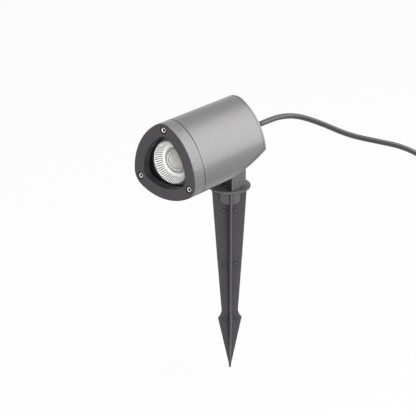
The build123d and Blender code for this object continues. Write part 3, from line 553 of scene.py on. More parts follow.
def add(owner, kind, inputs=(), **settings):
    """Adds a node: settings are its properties, inputs are values or sockets for its own sockets."""
    tree = owner.node_tree
    node = tree.nodes.new("ShaderNode" + kind)
    for name, value in settings.items():
        setattr(node, name, value)
    for name, value in dict(inputs).items():
        if isinstance(value, bpy.types.NodeSocket):
            tree.links.new(value, node.inputs[name])
        else:
            node.inputs[name].default_value = value
    return node


def blank(name):
    """A material with nothing in it but its output."""
    material = bpy.data.materials.new(name)
    material.use_nodes = True
    material.node_tree.nodes.clear()
    return material


def grained(name, dark, light, size, depth, roughness, metallic=0.0, stretch=(1, 1, 1), sockets=()):
    """A finish whose colour, roughness and relief follow one grain of lumps, in millimetres."""
    material = blank(name)
    place = add(material, "TexCoord").outputs["Object"]
    drawn_out = add(material, "Mapping", {"Vector": place, "Scale": stretch}).outputs[0]
    lumps = {"Vector": drawn_out, "Scale": 1 / (size * MM), "Detail": 3.0}
    grain = add(material, "TexNoise", lumps).outputs["Fac"]
    spread = {"Value": grain, "From Min": 0.3, "From Max": 0.7}
    tone = add(material, "MapRange", spread).outputs[0]
    tints = {0: tone, 6: colour(dark), 7: colour(light)}
    ends = {**spread, "To Min": roughness[0], "To Max": roughness[1]}
    heights = {"Height": grain, "Distance": depth * MM, "Strength": 1.0}
    skin = {
        "Base Color": add(material, "Mix", tints, data_type="RGBA").outputs[2],
        "Roughness": add(material, "MapRange", ends).outputs[0],
        "Normal": add(material, "Bump", heights).outputs[0],
        "Metallic": metallic,
        **dict(sockets),
    }
    shader = add(material, "BsdfPrincipled", skin)
    add(material, "OutputMaterial", {"Surface": shader.outputs[0]})
    return material


# A lacquered coat has a thin clear gloss over it. A rough coat or moulding throws back little of
# the white room, so its recesses stay dark.
LACQUER = {"Coat Weight": 0.5, "Coat Roughness": 0.2}
MATT = {"Specular IOR Level": 0.22}
# Extruded aluminium in silver polyester powder with metal flake: satin, its broad soft highlights
# run along the tube and it darkens between them. The flake is 0.05 mm, drawn at 0.6 mm to show.
satin_silver = grained(
    "satin_silver_powder_coat", "#737272", "#7B7A7A", 0.6, 0.004, (0.36, 0.42), 0.85, sockets=LACQUER
)
# The same coat on sand-cast aluminium: the skin of the casting shows through as a fine mottle of
# 1.2 mm lumps that breaks the highlight up.
cast_silver = grained(
    "cast_silver_powder_coat", "#636262", "#8C8B8C", 1.2, 0.08, (0.34, 0.52), 0.85, sockets=LACQUER
)
# Dark grey fine-texture powder coat as painted shade on the turned face: matt, even, almost no highlight.
face_painted_shade = grained(
    "dark_grey_powder_coat_painted_shade", "#504E50", "#585658", 0.9, 0.02, (0.62, 0.75), sockets=MATT
)
# Painted shade on the mouth's machined wall: the same coat, darker and a little smoother.
mouth_painted_shade = grained(
    "dark_grey_painted_shade_in_the_mouth", "#2E2C2F", "#353336", 0.9, 0.01, (0.5, 0.62), sockets=MATT
)
# Die-cast zinc alloy in grey powder coat: a dull mid grey with the casting's coarse skin.
# The skin's lumps are 1 mm across, drawn at 1.8 mm so that they show.
cast_clevis = grained(
    "grey_powder_coated_die_casting", "#4C4C4C", "#7A7B7A", 1.8, 0.14, (0.5, 0.65), 0.15, sockets=MATT
)
# Painted shade on the cheeks' front edges and in the fork between them: the same coat, nearly black.
fork_painted_shade = grained(
    "grey_painted_shade_in_the_fork", "#1B191C", "#252326", 1.2, 0.03, (0.6, 0.75), sockets=MATT
)
# Glass-filled polyamide moulding: dark grey, slightly glossy where the mould was polished, with
# flow marks along the blades. The fibres are 0.2 mm, drawn at 1.5 mm by 6 mm.
glass_filled_nylon = grained(
    "glass_filled_polyamide_moulding", "#494749", "#514F52", 1.5, 0.015, (0.42, 0.55),
    stretch=(1, 1, 0.25), sockets=MATT,
)
# The same moulding where the mould was polished, on the blades' thin borders: smoother, so darker.
smooth_nylon = grained(
    "glass_filled_polyamide_polished", "#3F3E40", "#464547", 1.5, 0.004, (0.32, 0.38)
)
# And along the blades' narrow outer edges: a little lighter.
lighter_edge_nylon = grained(
    "glass_filled_polyamide_lighter_edges", "#5E5D60", "#676669", 1.2, 0.03, (0.5, 0.6)
)
# Painted light on the hub: a lighter copy of the moulding, smoother than the blades, with a soft highlight
# low down.
hub_painted_light = grained(
    "glass_filled_polyamide_hub_painted_light", "#515053", "#5B5A5D", 1.5, 0.02, (0.34, 0.42)
)
# Stainless steel turned on a lathe: bright and a little warm, with tool marks of about 0.3 mm.
turned_stainless = grained(
    "turned_stainless_steel", "#D6CAC2", "#EEE5DF", 0.3, 0.004, (0.2, 0.32), 1.0
)
# Painted shade, near black, in the screws' sockets and on their heads' sides, and in the bezel's sinks:
# dull, nearly no gleam.
painted_shade_black = grained("painted_shade_black", "#08080A", "#101012", 0.5, 0.004, (0.6, 0.75))
# Grey silicone between the tube and its rear cover: soft and dull.
grey_silicone = grained("grey_silicone_seal", "#5F5F60", "#686869", 0.8, 0.02, (0.6, 0.75))
# Zinc-plated pressed steel: greyer and bluer than stainless, cloudy.
zinc_plate = grained(
    "zinc_plated_steel", "#8E9296", "#B0B4B8", 2.5, 0.004, (0.3, 0.45), 1.0
)
# Nickel-plated brass pins: smooth, faintly yellow.
nickel_brass = grained(
    "nickel_plated_brass", "#BDB7A8", "#CFCABC", 1.2, 0.002, (0.18, 0.28), 1.0
)
# Bare brass of the terminals' screws: a warm yellow, half bright.
bare_brass = grained("bare_brass", "#B08A45", "#C9A560", 1.0, 0.003, (0.3, 0.4), 1.0)
# Rubber sheath of the lead, extruded: smooth and black, with a soft sheen.
SHEEN = {"Specular IOR Level": 0.85}
rubber_sheath = grained(
    "extruded_rubber_sheath", "#17181A", "#1F2022", 2.0, 0.003, (0.24, 0.32), sockets=SHEEN
)
# Moulded black rubber of the plug, the bend sleeves and the gland's seal: half-matt.
moulded_rubber = grained("moulded_black_rubber", "#1B1B1C", "#232324", 0.8, 0.02, (0.5, 0.62))
# Foamed rubber gaskets: dead black and open-pored.
gasket_rubber = grained("foamed_gasket_rubber", "#101011", "#1C1C1D", 0.7, 0.05, (0.75, 0.9))
# Black nylon of the cable gland: moulded, half-matt.
black_nylon = grained("black_nylon_moulding", "#161617", "#1E1E20", 1.0, 0.01, (0.38, 0.5))
# Black enamel on the pressed baffle: a slightly purple black.
black_enamel = grained("black_enamelled_steel", "#0C0A0D", "#141116", 1.2, 0.01, (0.5, 0.6))
# Vulcanised fibre friction washers: brown-grey, fibrous.
fibre = grained("vulcanised_fibre", "#4A4240", "#5C5350", 0.8, 0.04, (0.7, 0.85))
# Steatite lamp holder: an off-white unglazed ceramic.
steatite = grained("unglazed_steatite", "#D9D3C4", "#E6E1D5", 0.9, 0.02, (0.6, 0.75))
# Polyamide terminal strip: milky white.
milky_nylon = grained("natural_polyamide", "#CFCCC2", "#DAD8CF", 1.5, 0.01, (0.45, 0.55))
# Insulation of the cores in the usual colours: extruded PVC with a slight gloss.
brown_pvc = grained("brown_pvc_insulation", "#5A3220", "#66392A", 1.0, 0.005, (0.3, 0.4))
blue_pvc = grained("blue_pvc_insulation", "#1F5FA8", "#2A6CB5", 1.0, 0.005, (0.3, 0.4))
# White solder mask on the light board's aluminium core: an even white with a slight gloss.
board_white = grained("white_solder_mask", "#EEEEEB", "#F8F8F5", 0.6, 0.005, (0.35, 0.5))
# Phosphor cast over the light chip: a soft pale yellow.
phosphor = grained("yellow_phosphor", "#F0E8C8", "#F6F0DA", 0.4, 0.01, (0.4, 0.5))
# White moulded acrylic of the ring round the lamp's optic: bright and even.
white_acrylic = grained("white_acrylic", "#F4F4F2", "#FCFCFA", 1.2, 0.005, (0.2, 0.3))
# Vacuum-metallised polycarbonate of the ribbed reflector: bright silver.
metallised = grained(
    "vacuum_metallised_plastic", "#F2F2F1", "#FBFBFA", 0.8, 0.003, (0.3, 0.4), 0.1
)
# White enamel on the die-cast body of the lamp: a greyish white with a soft gloss.
lamp_enamel = grained("white_enamelled_casting", "#C6C6C4", "#D2D2D0", 1.0, 0.01, (0.35, 0.45))


def striped_insulation(pitch=18.0, yellow_from=0.62):
    """Green PVC with a yellow band aslant across it in each pitch, about two fifths of its skin."""
    material = blank("green_and_yellow_pvc_insulation")
    place = add(material, "TexCoord").outputs["Object"]
    bands = {"Vector": place, "Scale": 2 * math.pi / (10 * pitch * MM), "Distortion": 0.4}
    wave = add(material, "TexWave", bands, bands_direction="DIAGONAL").outputs["Fac"]
    stripe = add(material, "Math", {0: wave, 1: yellow_from}, operation="GREATER_THAN").outputs[0]
    tints = {0: stripe, 6: colour("#2F7A3A"), 7: colour("#D8C83A")}
    tint = add(material, "Mix", tints, data_type="RGBA").outputs[2]
    shader = add(material, "BsdfPrincipled", {"Base Color": tint, "Roughness": 0.35})
    add(material, "OutputMaterial", {"Surface": shader.outputs[0]})
    return material


def groove_shade(light_within=19.8, dark_beyond=21.6):
    """The grooves between the optic's ribs, in painted shade: grey near the foot, near black towards the
    rim.
    """
    material = blank("ribbed_polycarbonate_painted_groove_shade")
    place = add(material, "TexCoord").outputs["Object"]
    axis = (0, 0, HEAD_AXIS_Z * MM)
    level = add(material, "VectorMath", {0: place, 1: axis}, operation="SUBTRACT").outputs[0]
    flat = add(material, "VectorMath", {0: level, 1: (1, 0, 1)}, operation="MULTIPLY").outputs[0]
    radius = add(material, "VectorMath", {0: flat}, operation="LENGTH").outputs["Value"]
    reach = {"Value": radius, "From Min": light_within * MM, "From Max": dark_beyond * MM}
    near_rim = add(material, "MapRange", reach).outputs[0]
    tints = {0: near_rim, 6: colour("#7A7A78"), 7: colour("#060607")}
    skin = {
        "Base Color": add(material, "Mix", tints, data_type="RGBA").outputs[2],
        "Roughness": 0.5,
        "Specular IOR Level": 0.1,
    }
    shader = add(material, "BsdfPrincipled", skin)
    add(material, "OutputMaterial", {"Surface": shader.outputs[0]})
    return material


def clear(name, tint, roughness, index, depth, wave_length=14.0):
    """Clear glass or plastic that lets the lamps' rays through, with a faint waviness."""
    material = blank(name)
    place = add(material, "TexCoord").outputs["Object"]
    waves = {"Vector": place, "Scale": 1 / (wave_length * MM), "Detail": 1.0}
    source = add(material, "TexNoise", waves).outputs["Fac"]
    ends = {"Value": source, "From Min": 0.3, "From Max": 0.7}
    ends.update({"To Min": roughness[0], "To Max": roughness[1]})
    heights = {"Height": source, "Distance": depth * MM, "Strength": 1.0}
    skin = {
        "Base Color": colour(tint),
        "Roughness": add(material, "MapRange", ends).outputs[0],
        "IOR": index,
        "Transmission Weight": 1.0,
        "Normal": add(material, "Bump", heights).outputs[0],
    }
    glass = add(material, "BsdfPrincipled", skin).outputs[0]
    passing = add(material, "BsdfTransparent", {"Color": colour(tint)}).outputs[0]
    lamp_ray = add(material, "LightPath").outputs["Is Shadow Ray"]
    mixed = add(material, "MixShader", {0: lamp_ray, 1: glass, 2: passing})
    add(material, "OutputMaterial", {"Surface": mixed.outputs[0]})
    return material


green_yellow = striped_insulation()
painted_groove_shade = groove_shade()
# Toughened soda-lime glass, 3 mm: clear and flat.
toughened_glass = clear("toughened_clear_glass", "#FFFFFF", (0.0, 0.01), 1.5, 0.001)
# Clear polycarbonate of the lamp's dome: a little grey and softer than glass.
clear_dome = clear("clear_polycarbonate", "#F6F6F6", (0.02, 0.06), 1.55, 0.004)

# ---------------------------------------------------------------- ground spike
HUB_RADIUS, HUB_HEIGHT = 13.2, 19.5
HALF_BLADE, EDGE_LEFT = 1.5, 0.55
SPIKE_TIP_Z = -247.6
# One blade seen flat: (reach from the axis, height, width of the bevelled border).
BLADE_EDGE = (
    (19.7, -0.5, 1.2), (20.6, -1.2, 1.8), (21.1, -2.5, 2.4), (20.2, -17.0, 2.5),
    (15.7, -88.0, 2.4), (10.2, -166.6, 2.3), (10.75, -168.6, 2.3), (12.9, -173.9, 2.2),
    (14.3, -174.9, 2.2), (14.75, -176.2, 2.3), (14.6, -177.7, 2.4), (9.0, -205.2, 2.1),
    (4.6, -226.8, 1.5), (1.8, -240.6, 0.75), (1.2, -246.4, 0.5), (0.35, SPIKE_TIP_Z, 0.15),
)


def blade_section(reach, z, border):
    """A blade's section at one height, thick in the middle and bevelled down to both edges."""
    inner = max(reach - border, 0.1)
    thick = HALF_BLADE if reach > 1.6 else max(EDGE_LEFT, HALF_BLADE * reach / 1.6)
    half = [(inner, -thick), (reach, -EDGE_LEFT), (reach, EDGE_LEFT), (inner, thick)]
    ring = half + [(-x, -y) for x, y in half]
    return [(x, y, z) for x, y in ring + ring[:1]]


blade = new_piece("blade")
for edge in BLADE_EDGE:
    draw_line(blade_section(*edge))
    bpy.ops.mesh.select_linked()
    bpy.ops.mesh.remove_doubles(threshold=WELD * MM)
    bpy.ops.object.vertex_group_assign_new()
join_rings(blade, len(BLADE_EDGE))

PAD_ROWS = ((-31.0, 3.1), (-102.0, 2.8), (-177.0, 2.4))
PAD_OFFSET, PAD_RAISED, MOAT = 7.2, 0.8, 0.6
PAD_HALF = HALF_BLADE + PAD_RAISED
for z, radius in PAD_ROWS:
    pad_profile = [
        (0, -PAD_HALF), (radius - 0.35, -PAD_HALF), (radius, -PAD_HALF + 0.35),
        (radius, PAD_HALF - 0.35), (radius - 0.35, PAD_HALF), (0, PAD_HALF),
    ]
    sides = (PAD_OFFSET, -PAD_OFFSET)
    pads = [turned("pad", pad_profile, (x, 0, z), (0, 1, 0), 32) for x in sides]
    cut(blade, *pads, operation="UNION")
    # A moat round each pad, on both faces, a hair clear of the pad itself.
    near, far = radius + 0.15, radius + 0.15 + MOAT
    deep, high = HALF_BLADE - MOAT, HALF_BLADE + 0.3
    moat = [(near, deep), (far, deep), (far, high), (near, high), (near, deep)]
    for x in sides:
        for side in (1, -1):
            cut(blade, turned("moat", moat, (x, 0, z), (0, side, 0), 32))

# The hub with its rounded foot, and the narrower neck that the disc turns on.
HUB_ROUND, ROUND_STEPS, NECK_RADIUS = 3.0, 6, HUB_RADIUS - 1.2
hub_profile = [(0, -0.4), (HUB_RADIUS - 0.5, -0.4), (HUB_RADIUS, -0.9)]
for step in range(ROUND_STEPS + 1):
    angle = math.radians(90 * step / ROUND_STEPS)
    radius = HUB_RADIUS - HUB_ROUND * (1 - math.cos(angle))
    hub_profile.append((radius, -HUB_HEIGHT + HUB_ROUND * (1 - math.sin(angle))))
hub_profile.append((0, -HUB_HEIGHT))
spike = turned("ground_spike", hub_profile, (0, 0, 0), (0, 0, 1), 64)
neck_profile = [(0, 0), (NECK_RADIUS, 0), (NECK_RADIUS, -1.0), (0, -1.0)]
neck = turned("neck", neck_profile, (0, 0, 0), (0, 0, 1), 64)
crossed = copied(blade, "crossed")
turn(blade, 45, (0, 0, 0), (0, 0, 1))
turn(crossed, 135, (0, 0, 0), (0, 0, 1))
# A hair's breadth apart in height, so that no two of their faces lie in one plane.
HAIR = 0.03
crossed.data.transform(Matrix.Translation((0, 0, HAIR * MM)))
cut(spike, neck, blade, crossed, operation="UNION")
NUT_CORNER, NUT_TOP, NUT_BOTTOM = 7.6, -7.5, -14.1
pocket_profile = [(0, NUT_TOP), (NUT_CORNER, NUT_TOP), (NUT_CORNER, NUT_BOTTOM), (0, NUT_BOTTOM)]
nut_pocket = turned("nut_pocket", pocket_profile, (0, 0, 0), (0, 0, 1), 6)
cut(spike, rod(SWIVEL_HOLE, (0, 0, 5), (0, 0, -17)), nut_pocket)
# The last union leaves a few slits along the moats, which are closed.
take_up(spike)
bpy.ops.object.mode_set(mode="EDIT")
bpy.ops.mesh.select_all(action="SELECT")
bpy.ops.mesh.fill_holes(sides=0)
close_up()
shade(spike)

# ---------------------------------------------------------------- screws, nuts and gland
def socket_screw(name, seat, out, shank, length, head, height, socket):
    """A cap screw, its head standing out from its seat, with a rounded rim and hexagon socket."""
    rim = head * 0.16
    profile = [
        (0, -length), (shank - 0.5, -length), (shank, -length + 0.5), (shank, 0),
        (head - 0.15, 0), (head, 0.15), (head, height - 1.6 * rim),
        (head - 0.12 * rim, height - 1.0 * rim), (head - 0.5 * rim, height - 0.35 * rim),
        (head - rim, height), (0, height),
    ]
    screw = turned(name, profile, seat, out, 48)
    hexagon = socket / math.sqrt(3)
    depth = height * 0.55
    socket_tool = [
        (0, height + 1), (hexagon + 1.25, height + 1), (hexagon, height - 0.25),
        (hexagon, height - depth), (0, height - depth - 0.4),
    ]
    cut(screw, turned("socket", socket_tool, seat, out, 6))
    out = Vector(out)

    def in_painted_shade(place, normal):
        """The socket's inside and the head's side, which get painted shade."""
        along = (place - seat).dot(out)
        off_axis = (place - seat - out * along).length
        in_socket = off_axis < hexagon and height - depth - 0.5 < along < height - 0.05
        return in_socket or (off_axis > head - rim + 0.08 and along > 0)

    dress(screw, turned_stainless, (painted_shade_black, in_painted_shade))
    return screw


def hexagon_piece(name, seat, out, flats, height, bore=0):
    """A nut or bolt head: six flats, its corners turned off at both ends, bored through if asked."""
    corner = flats / math.sqrt(3)
    hexagon = turned(name, [(0, 0), (corner, 0), (corner, height), (0, height)], seat, out, 6)
    chamfer = corner - flats / 2
    turning = [
        (0, -0.5), (flats / 2 - 0.5, -0.5), (corner, chamfer * 0.6),
        (corner, height - chamfer * 0.6), (flats / 2 - 0.5, height + 0.5), (0, height + 0.5),
    ]
    cut(hexagon, turned("turning", turning, seat, out, 48), operation="INTERSECT")
    if bore:
        drill = [
            (0, -1), (bore + 1.5, -1), (bore, 0.5), (bore, height - 0.5),
            (bore + 1.5, height + 1), (0, height + 1),
        ]
        cut(hexagon, turned("drill", drill, seat, out, 32))
    return hexagon


M4 = {"shank": 2.0, "length": 25.0, "head": 3.5, "height": 4.0, "socket": 3.4}
M4_LOW_HEAD = {"shank": 2.0, "length": 14.0, "head": 3.7, "height": 2.2, "socket": 2.5}
M6 = {"shank": 3.0, "length": 40.0, "head": 5.2, "height": 3.3, "socket": 4.0}
front_seats = [on_head(*place, FRONT_Y + SINK_DEPTH) for place in FRONT_SCREWS]
bezel_screw = socket_screw("bezel_screw", front_seats[0], (0, -1, 0), **M4)
bezel_screws = set_out("bezel_screws", bezel_screw, front_seats)
rear_seats = [on_head(*place, REAR_Y) for place in REAR_SCREWS]
rear_screw = socket_screw("rear_screw", rear_seats[0], (0, 1, 0), **M4_LOW_HEAD)
rear_screws = set_out("rear_screws", rear_screw, rear_seats)
beside = Vector((CHEEK_OUTER, 0, 0))
pivot_bolt = socket_screw("pivot_bolt", PIVOT + beside, (1, 0, 0), **M6)
pivot_nut = hexagon_piece("pivot_nut", PIVOT - beside, (-1, 0, 0), flats=10.0, height=5.0, bore=3.02)

WASHER_TOP = DISC_THICKNESS + 1.6
bolt_seat = (0, 0, WASHER_TOP)
spike_bolt = hexagon_piece("spike_bolt", bolt_seat, (0, 0, 1), flats=13.0, height=5.3)
shank_profile = [(0, 1), (4.0, 1), (4.0, -19.2), (3.2, -20), (0, -20)]
cut(spike_bolt, turned("shank", shank_profile, bolt_seat, (0, 0, 1), 32), operation="UNION")

GLAND_FLANGE, LEAD_HOLE, SEAL_SEAT = 5.0, 3.55, 4.9
gland_seat = Vector((0, REAR_Y + GLAND_FLANGE, HEAD_AXIS_Z))
gland_root = Vector((0, REAR_Y, HEAD_AXIS_Z))
gland_body = hexagon_piece("gland_body", gland_root, (0, 1, 0), flats=15.0, height=GLAND_FLANGE)
spout = [(0, -14), (6.0, -14), (6.0, -4.5), (6.0, -2), (6.2, 0), (6.2, 7.0), (0, 7.0)]
cut(gland_body, turned("spout", spout, gland_seat, (0, 1, 0), 48), operation="UNION")
beyond = gland_root + Vector((0, 30, 0))
cut(
    gland_body,
    rod(LEAD_HOLE, gland_root - Vector((0, 12, 0)), beyond),
    rod(SEAL_SEAT, gland_seat - Vector((0, 1.0, 0)), beyond),
)
gland_nut = turned(
    "gland_nut",
    [
        (6.25, 0.1), (8.0, 0.1), (8.4, 0.5), (8.4, 7.6), (8.2, 8.2), (6.9, 12.0), (6.4, 12.7),
        (5.6, 13.0), (5.2, 13.0), (5.2, 7.1), (6.25, 7.1), (6.25, 0.1),
    ],
    gland_seat,
    (0, 1, 0),
    72,
)
NOTCHES, NOTCH_CIRCLE, NOTCH_RADIUS = 12, 9.1, 1.15
notch_places = [
    on_head(NOTCH_CIRCLE, 360 * (k + 0.5) / NOTCHES, gland_seat.y) for k in range(NOTCHES)
]
notch = rod(
    NOTCH_RADIUS, notch_places[0] - Vector((0, 2, 0)), notch_places[0] + Vector((0, 9, 0)), 16
)
cut(gland_nut, set_out("notches", notch, notch_places))

# The bend sleeve: a collar in the nut, seven rings that taper, and a plain end.
sleeve_profile = [(LEAD_HOLE, 7.2), (5.1, 7.2), (5.1, 13.0), (5.9, 13.3), (5.9, 15.6)]
SLEEVE_START, SLEEVE_END, SLEEVE_RINGS = 15.6, 36.3, 7
pitch = (SLEEVE_END - SLEEVE_START - 2.0) / SLEEVE_RINGS
for k in range(SLEEVE_RINGS):
    low = SLEEVE_START + pitch * k
    radius = 5.85 - 1.5 * k / SLEEVE_RINGS
    sleeve_profile += [
        (radius - 0.1, low + 0.5 * pitch), (radius - 0.75, low + 0.56 * pitch),
        (radius - 0.75, low + 0.9 * pitch), (radius - 0.25, low + 0.96 * pitch),
    ]
sleeve_profile += [
    (4.35, SLEEVE_END - 1.8), (4.3, SLEEVE_END - 0.4), (3.95, SLEEVE_END),
    (LEAD_HOLE, SLEEVE_END), (LEAD_HOLE, 7.2),
]
bend_sleeve = turned("bend_sleeve", sleeve_profile, gland_seat, (0, 1, 0), 48)

fixings = (bezel_screws, rear_screws, pivot_bolt, pivot_nut, spike_bolt)
for piece in (*fixings, gland_body, gland_nut, bend_sleeve):
    shade(piece)

# ---------------------------------------------------------------- lamp
LAMP_FRONT = Vector((0, FRONT_Y + 12.5, HEAD_AXIS_Z))


def lamp_part(name, profile, steps):
    """A lathe piece of the lamp, from points of (radius, depth behind the lamp's front)."""
    return turned(name, profile, LAMP_FRONT, (0, 1, 0), steps)


lamp_body_profile = [
    (24.2, 0.4), (24.5, 0.1), (24.8, 0.3), (25.0, 0.6), (25.0, 7.0), (16.5, 38.0), (14.0, 39.5),
    (14.0, 48.7), (13.5, 49.2), (0, 49.2), (0, 13.6), (20.9, 13.6), (20.9, 12.0), (24.2, 1.1),
    (24.2, 0.4),
]
lamp_body = lamp_part("lamp_body", lamp_body_profile, 96)
# Cooling slots in the lamp's body: this many, this wide and long, from a radius out past its skin.
SLOTS, SLOT_HALF, SLOT_LENGTH, SLOT_START_Y = 18, 1.3, 21.0, 15.0
SLOT_FROM, SLOT_TO = 19.0, 29.0
slot_outline = [
    LAMP_FRONT + Vector((reach, SLOT_START_Y, side * SLOT_HALF))
    for reach, side in (
        (SLOT_FROM, -1), (SLOT_TO, -1), (SLOT_TO, 1), (SLOT_FROM, 1), (SLOT_FROM, -1),
    )
]
slots = [prism("slot", slot_outline, (0, SLOT_LENGTH, 0))]
for k in range(1, SLOTS):
    slots.append(copied(slots[0], "slot"))
    turn(slots[-1], 360 * k / SLOTS, LAMP_FRONT, (0, 1, 0))
cut(lamp_body, join("slots", slots))

# The optic's funnel has this many ribs, each of five columns of faces: one rises to the crest, one
# is the crest, one falls from it and two are the groove.
RIBS, RIB_COLUMNS = 54, 5
FUNNEL_RIM, FUNNEL_FOOT = (23.8, 0.35), (19.7, 9.3)
CREST_DRAWN_IN = 0.972
optic_profile = [
    (24.1, 0.7), (24.05, 0.15), (23.95, 0.0), FUNNEL_RIM, FUNNEL_FOOT, (19.3, 9.9), (16.1, 10.9),
    (15.7, 10.6), (15.7, 11.9), (20.6, 11.9), (24.1, 1.1), (24.1, 0.7),
]
optic = lamp_part("lamp_lens", optic_profile, RIB_COLUMNS * RIBS)


def rib_step(angle, offset=0.0):
    """Which line or column of a rib lies at this angle, counted from the lathe's first line."""
    return round(angle / (360 / (RIB_COLUMNS * RIBS)) - offset) % RIB_COLUMNS


def on_funnel(place):
    """On the ribbed wall between the funnel's rim and its foot."""
    radius, _ = from_axis(place)
    depth = place.y - LAMP_FRONT.y
    (rim, front), (foot, rear) = FUNNEL_RIM, FUNNEL_FOOT
    return foot - 0.8 < radius < rim + 0.01 and front - 0.05 < depth < rear + 0.01


def on_a_crest(place, normal):
    return on_funnel(place) and rib_step(from_axis(place)[1]) in (1, 2)


def in_a_groove(place, normal):
    return on_funnel(place) and rib_step(from_axis(place)[1], 0.5) >= 3


def inside_the_funnel(place, normal):
    return from_axis(place)[0] < FUNNEL_FOOT[0] - 0.3


take_up(optic)
bpy.ops.object.mode_set(mode="EDIT")
pick("VERT", on_a_crest)
bpy.ops.transform.resize(
    value=(CREST_DRAWN_IN, 1, CREST_DRAWN_IN),
    center_override=tuple(LAMP_FRONT * MM),
    orient_type="GLOBAL",
)
bpy.ops.object.mode_set(mode="OBJECT")
# The optic's grooves get painted shade.
dress(optic, metallised, (white_acrylic, inside_the_funnel), (painted_groove_shade, in_a_groove))

dome_profile = [
    (0, 5.0), (6.0, 6.2), (9.6, 9.0), (11.0, 11.9), (15.55, 11.9), (15.55, 9.2), (15.2, 8.6),
    (14.0, 8.0), (13.0, 8.4), (12.4, 8.2), (11.6, 6.9), (10.0, 5.6), (7.6, 4.6), (4.8, 3.9),
    (2.2, 3.6), (0, 3.5),
]
dome = lamp_part("lamp_dome", dome_profile, 72)
board_profile = [(0, 12.0), (11.9, 12.0), (12.0, 12.1), (12.0, 13.6), (0, 13.6)]
board = lamp_part("led_board", board_profile, 48)
chip_profile = [
    (0, 11.3), (3.9, 11.3), (4.0, 11.1), (4.5, 11.0), (4.9, 11.3), (5.0, 12.0), (0, 12.0),
]
light_chip = lamp_part("light_chip", chip_profile, 48)
for piece in (lamp_body, dome, board, light_chip):
    shade(piece)
shade(optic, 12)

# ---------------------------------------------------------------- lead, in metres
CORD_RADIUS = 0.0035
# The coil lies beyond the view in two layers, at these heights, with its turns side by side.
LAYER_ONE, LAYER_TWO = -0.2431, -0.2355
COIL_X, COIL_Y, COIL_RADIUS, COIL_PITCH = 0.080, 0.452, 0.047, 0.0076
EXIT = (0, 0.054, 0.0622)
RUN_POINTS = [
    EXIT, (0, 0.078, 0.0622), (0.001, 0.103, 0.0612), (0.007, 0.131, 0.0556),
    (0.022, 0.161, 0.0405), (0.043, 0.192, 0.0205), (0.066, 0.222, 0.009), (0.088, 0.254, -0.003),
    (0.104, 0.290, -0.027), (0.115, 0.318, -0.066), (0.121, 0.338, -0.118), (0.123, 0.354, -0.170),
    (0.125, 0.378, -0.217), (0.127, 0.412, LAYER_ONE),
]
TAIL_POINTS = [
    (0.1194, 0.459, LAYER_TWO), (0.1194, 0.488, LAYER_TWO), (0.1054, 0.513, LAYER_TWO + 0.004),
    (0.0804, 0.528, -0.2291), (0.0534, 0.529, -0.2286),
]
COIL_STEPS = 8
HALF_TURNS, CLIMBING_HALF = 10, 5


def coil_points():
    """Control points of the coil, 16 to a turn: it spirals in below, climbs and spirals out on top."""
    widen = 1 / math.cos(math.pi / COIL_STEPS / 2)
    points = []
    x, radius, side = COIL_X + COIL_RADIUS, COIL_RADIUS, 1
    z = LAYER_ONE
    for half in range(HALF_TURNS):
        climbing = half == CLIMBING_HALF
        for step in range(COIL_STEPS):
            angle = math.pi * (step + 0.5) / COIL_STEPS
            climb = (LAYER_TWO - LAYER_ONE) * (step + 0.5) / COIL_STEPS if climbing else 0
            points.append(
                (
                    x - side * radius + side * radius * widen * math.cos(angle),
                    COIL_Y + side * radius * widen * math.sin(angle),
                    z + climb,
                )
            )
        if climbing:
            z = LAYER_TWO
        x -= side * 2 * radius
        side = -side
        radius += COIL_PITCH / 2 * (-1 if half < CLIMBING_HALF else 1)
    return points


def drawn_curve(kind, points, **settings):
    """The mesh that a curve of this kind gives: its line, or its skin where it has a bevel."""
    curve = bpy.data.curves.new("curve", "CURVE")
    curve.dimensions = "3D"
    for name, value in settings.items():
        setattr(curve, name, value)
    spline = curve.splines.new(kind)
    spline.points.add(len(points) - 1)
    for point, here in zip(spline.points, points):
        point.co = (*here, 1)
    if kind == "NURBS":
        spline.order_u = 3
        spline.use_endpoint_u = True
    holder = bpy.data.objects.new("curve", curve)
    bpy.context.scene.collection.objects.link(holder)
    mesh = bpy.data.meshes.new_from_object(holder)
    bpy.data.objects.remove(holder)
    return mesh


# A smooth line along the whole lead, and the sheath round it.
line = drawn_curve("NURBS", RUN_POINTS + coil_points() + TAIL_POINTS, resolution_u=6)
path = [vertex.co.copy() for vertex in line.vertices]
round_sheath = {"bevel_depth": CORD_RADIUS, "bevel_resolution": 6, "use_fill_caps": True}
lead = bpy.data.objects.new("lead", drawn_curve("POLY", path, **round_sheath))
bpy.context.scene.collection.objects.link(lead)
take_up(lead)
bpy.ops.object.mode_set(mode="EDIT")
close_up()

# ---------------------------------------------------------------- finishes and bodies of the pieces
# The mouth lies within the first of these radii about the head's axis, the outer wall beyond the
# second.
MOUTH_REACH, WALL_INSIDE = 36, 40.5
# The spike's pads lie within this reach of its axis, and all of them above this height.
PADS_REACH, BELOW_PADS_Z = 10.8, -190


def in_a_sink(place):
    """Within one of the round sinks that the bezel's screws stand in."""
    off_screws = [(place - on_head(*screw, place.y)).length for screw in FRONT_SCREWS]
    return min(off_screws) < SINK_RADIUS + 0.2


def face_shade_mask(place, normal):
    """All of the bezel but its outer wall: the turned face, the mouth and the screw sinks, in painted shade.
    """
    return from_axis(place)[0] < WALL_INSIDE or in_a_sink(place) or normal.y < -0.6


def in_painted_shade(place, normal):
    """The walls of the screw sinks, and the end of the mouth where the gasket lies: painted shade."""
    sunk = in_a_sink(place) and place.y > FRONT_Y + 0.1
    return sunk or (place.y > LIP_Y - 0.9 and from_axis(place)[0] < MOUTH_REACH)


def in_the_mouth(place, normal):
    """The sloping wall of the mouth, which gets painted shade."""
    on_slope = from_axis(place)[0] < MOUTH_REACH and abs(normal.y) < 0.75
    return on_slope and not in_a_sink(place)


def on_hub(place):
    return place.z > -HUB_HEIGHT - 0.1 and math.hypot(place.x, place.y) < HUB_RADIUS + 0.1


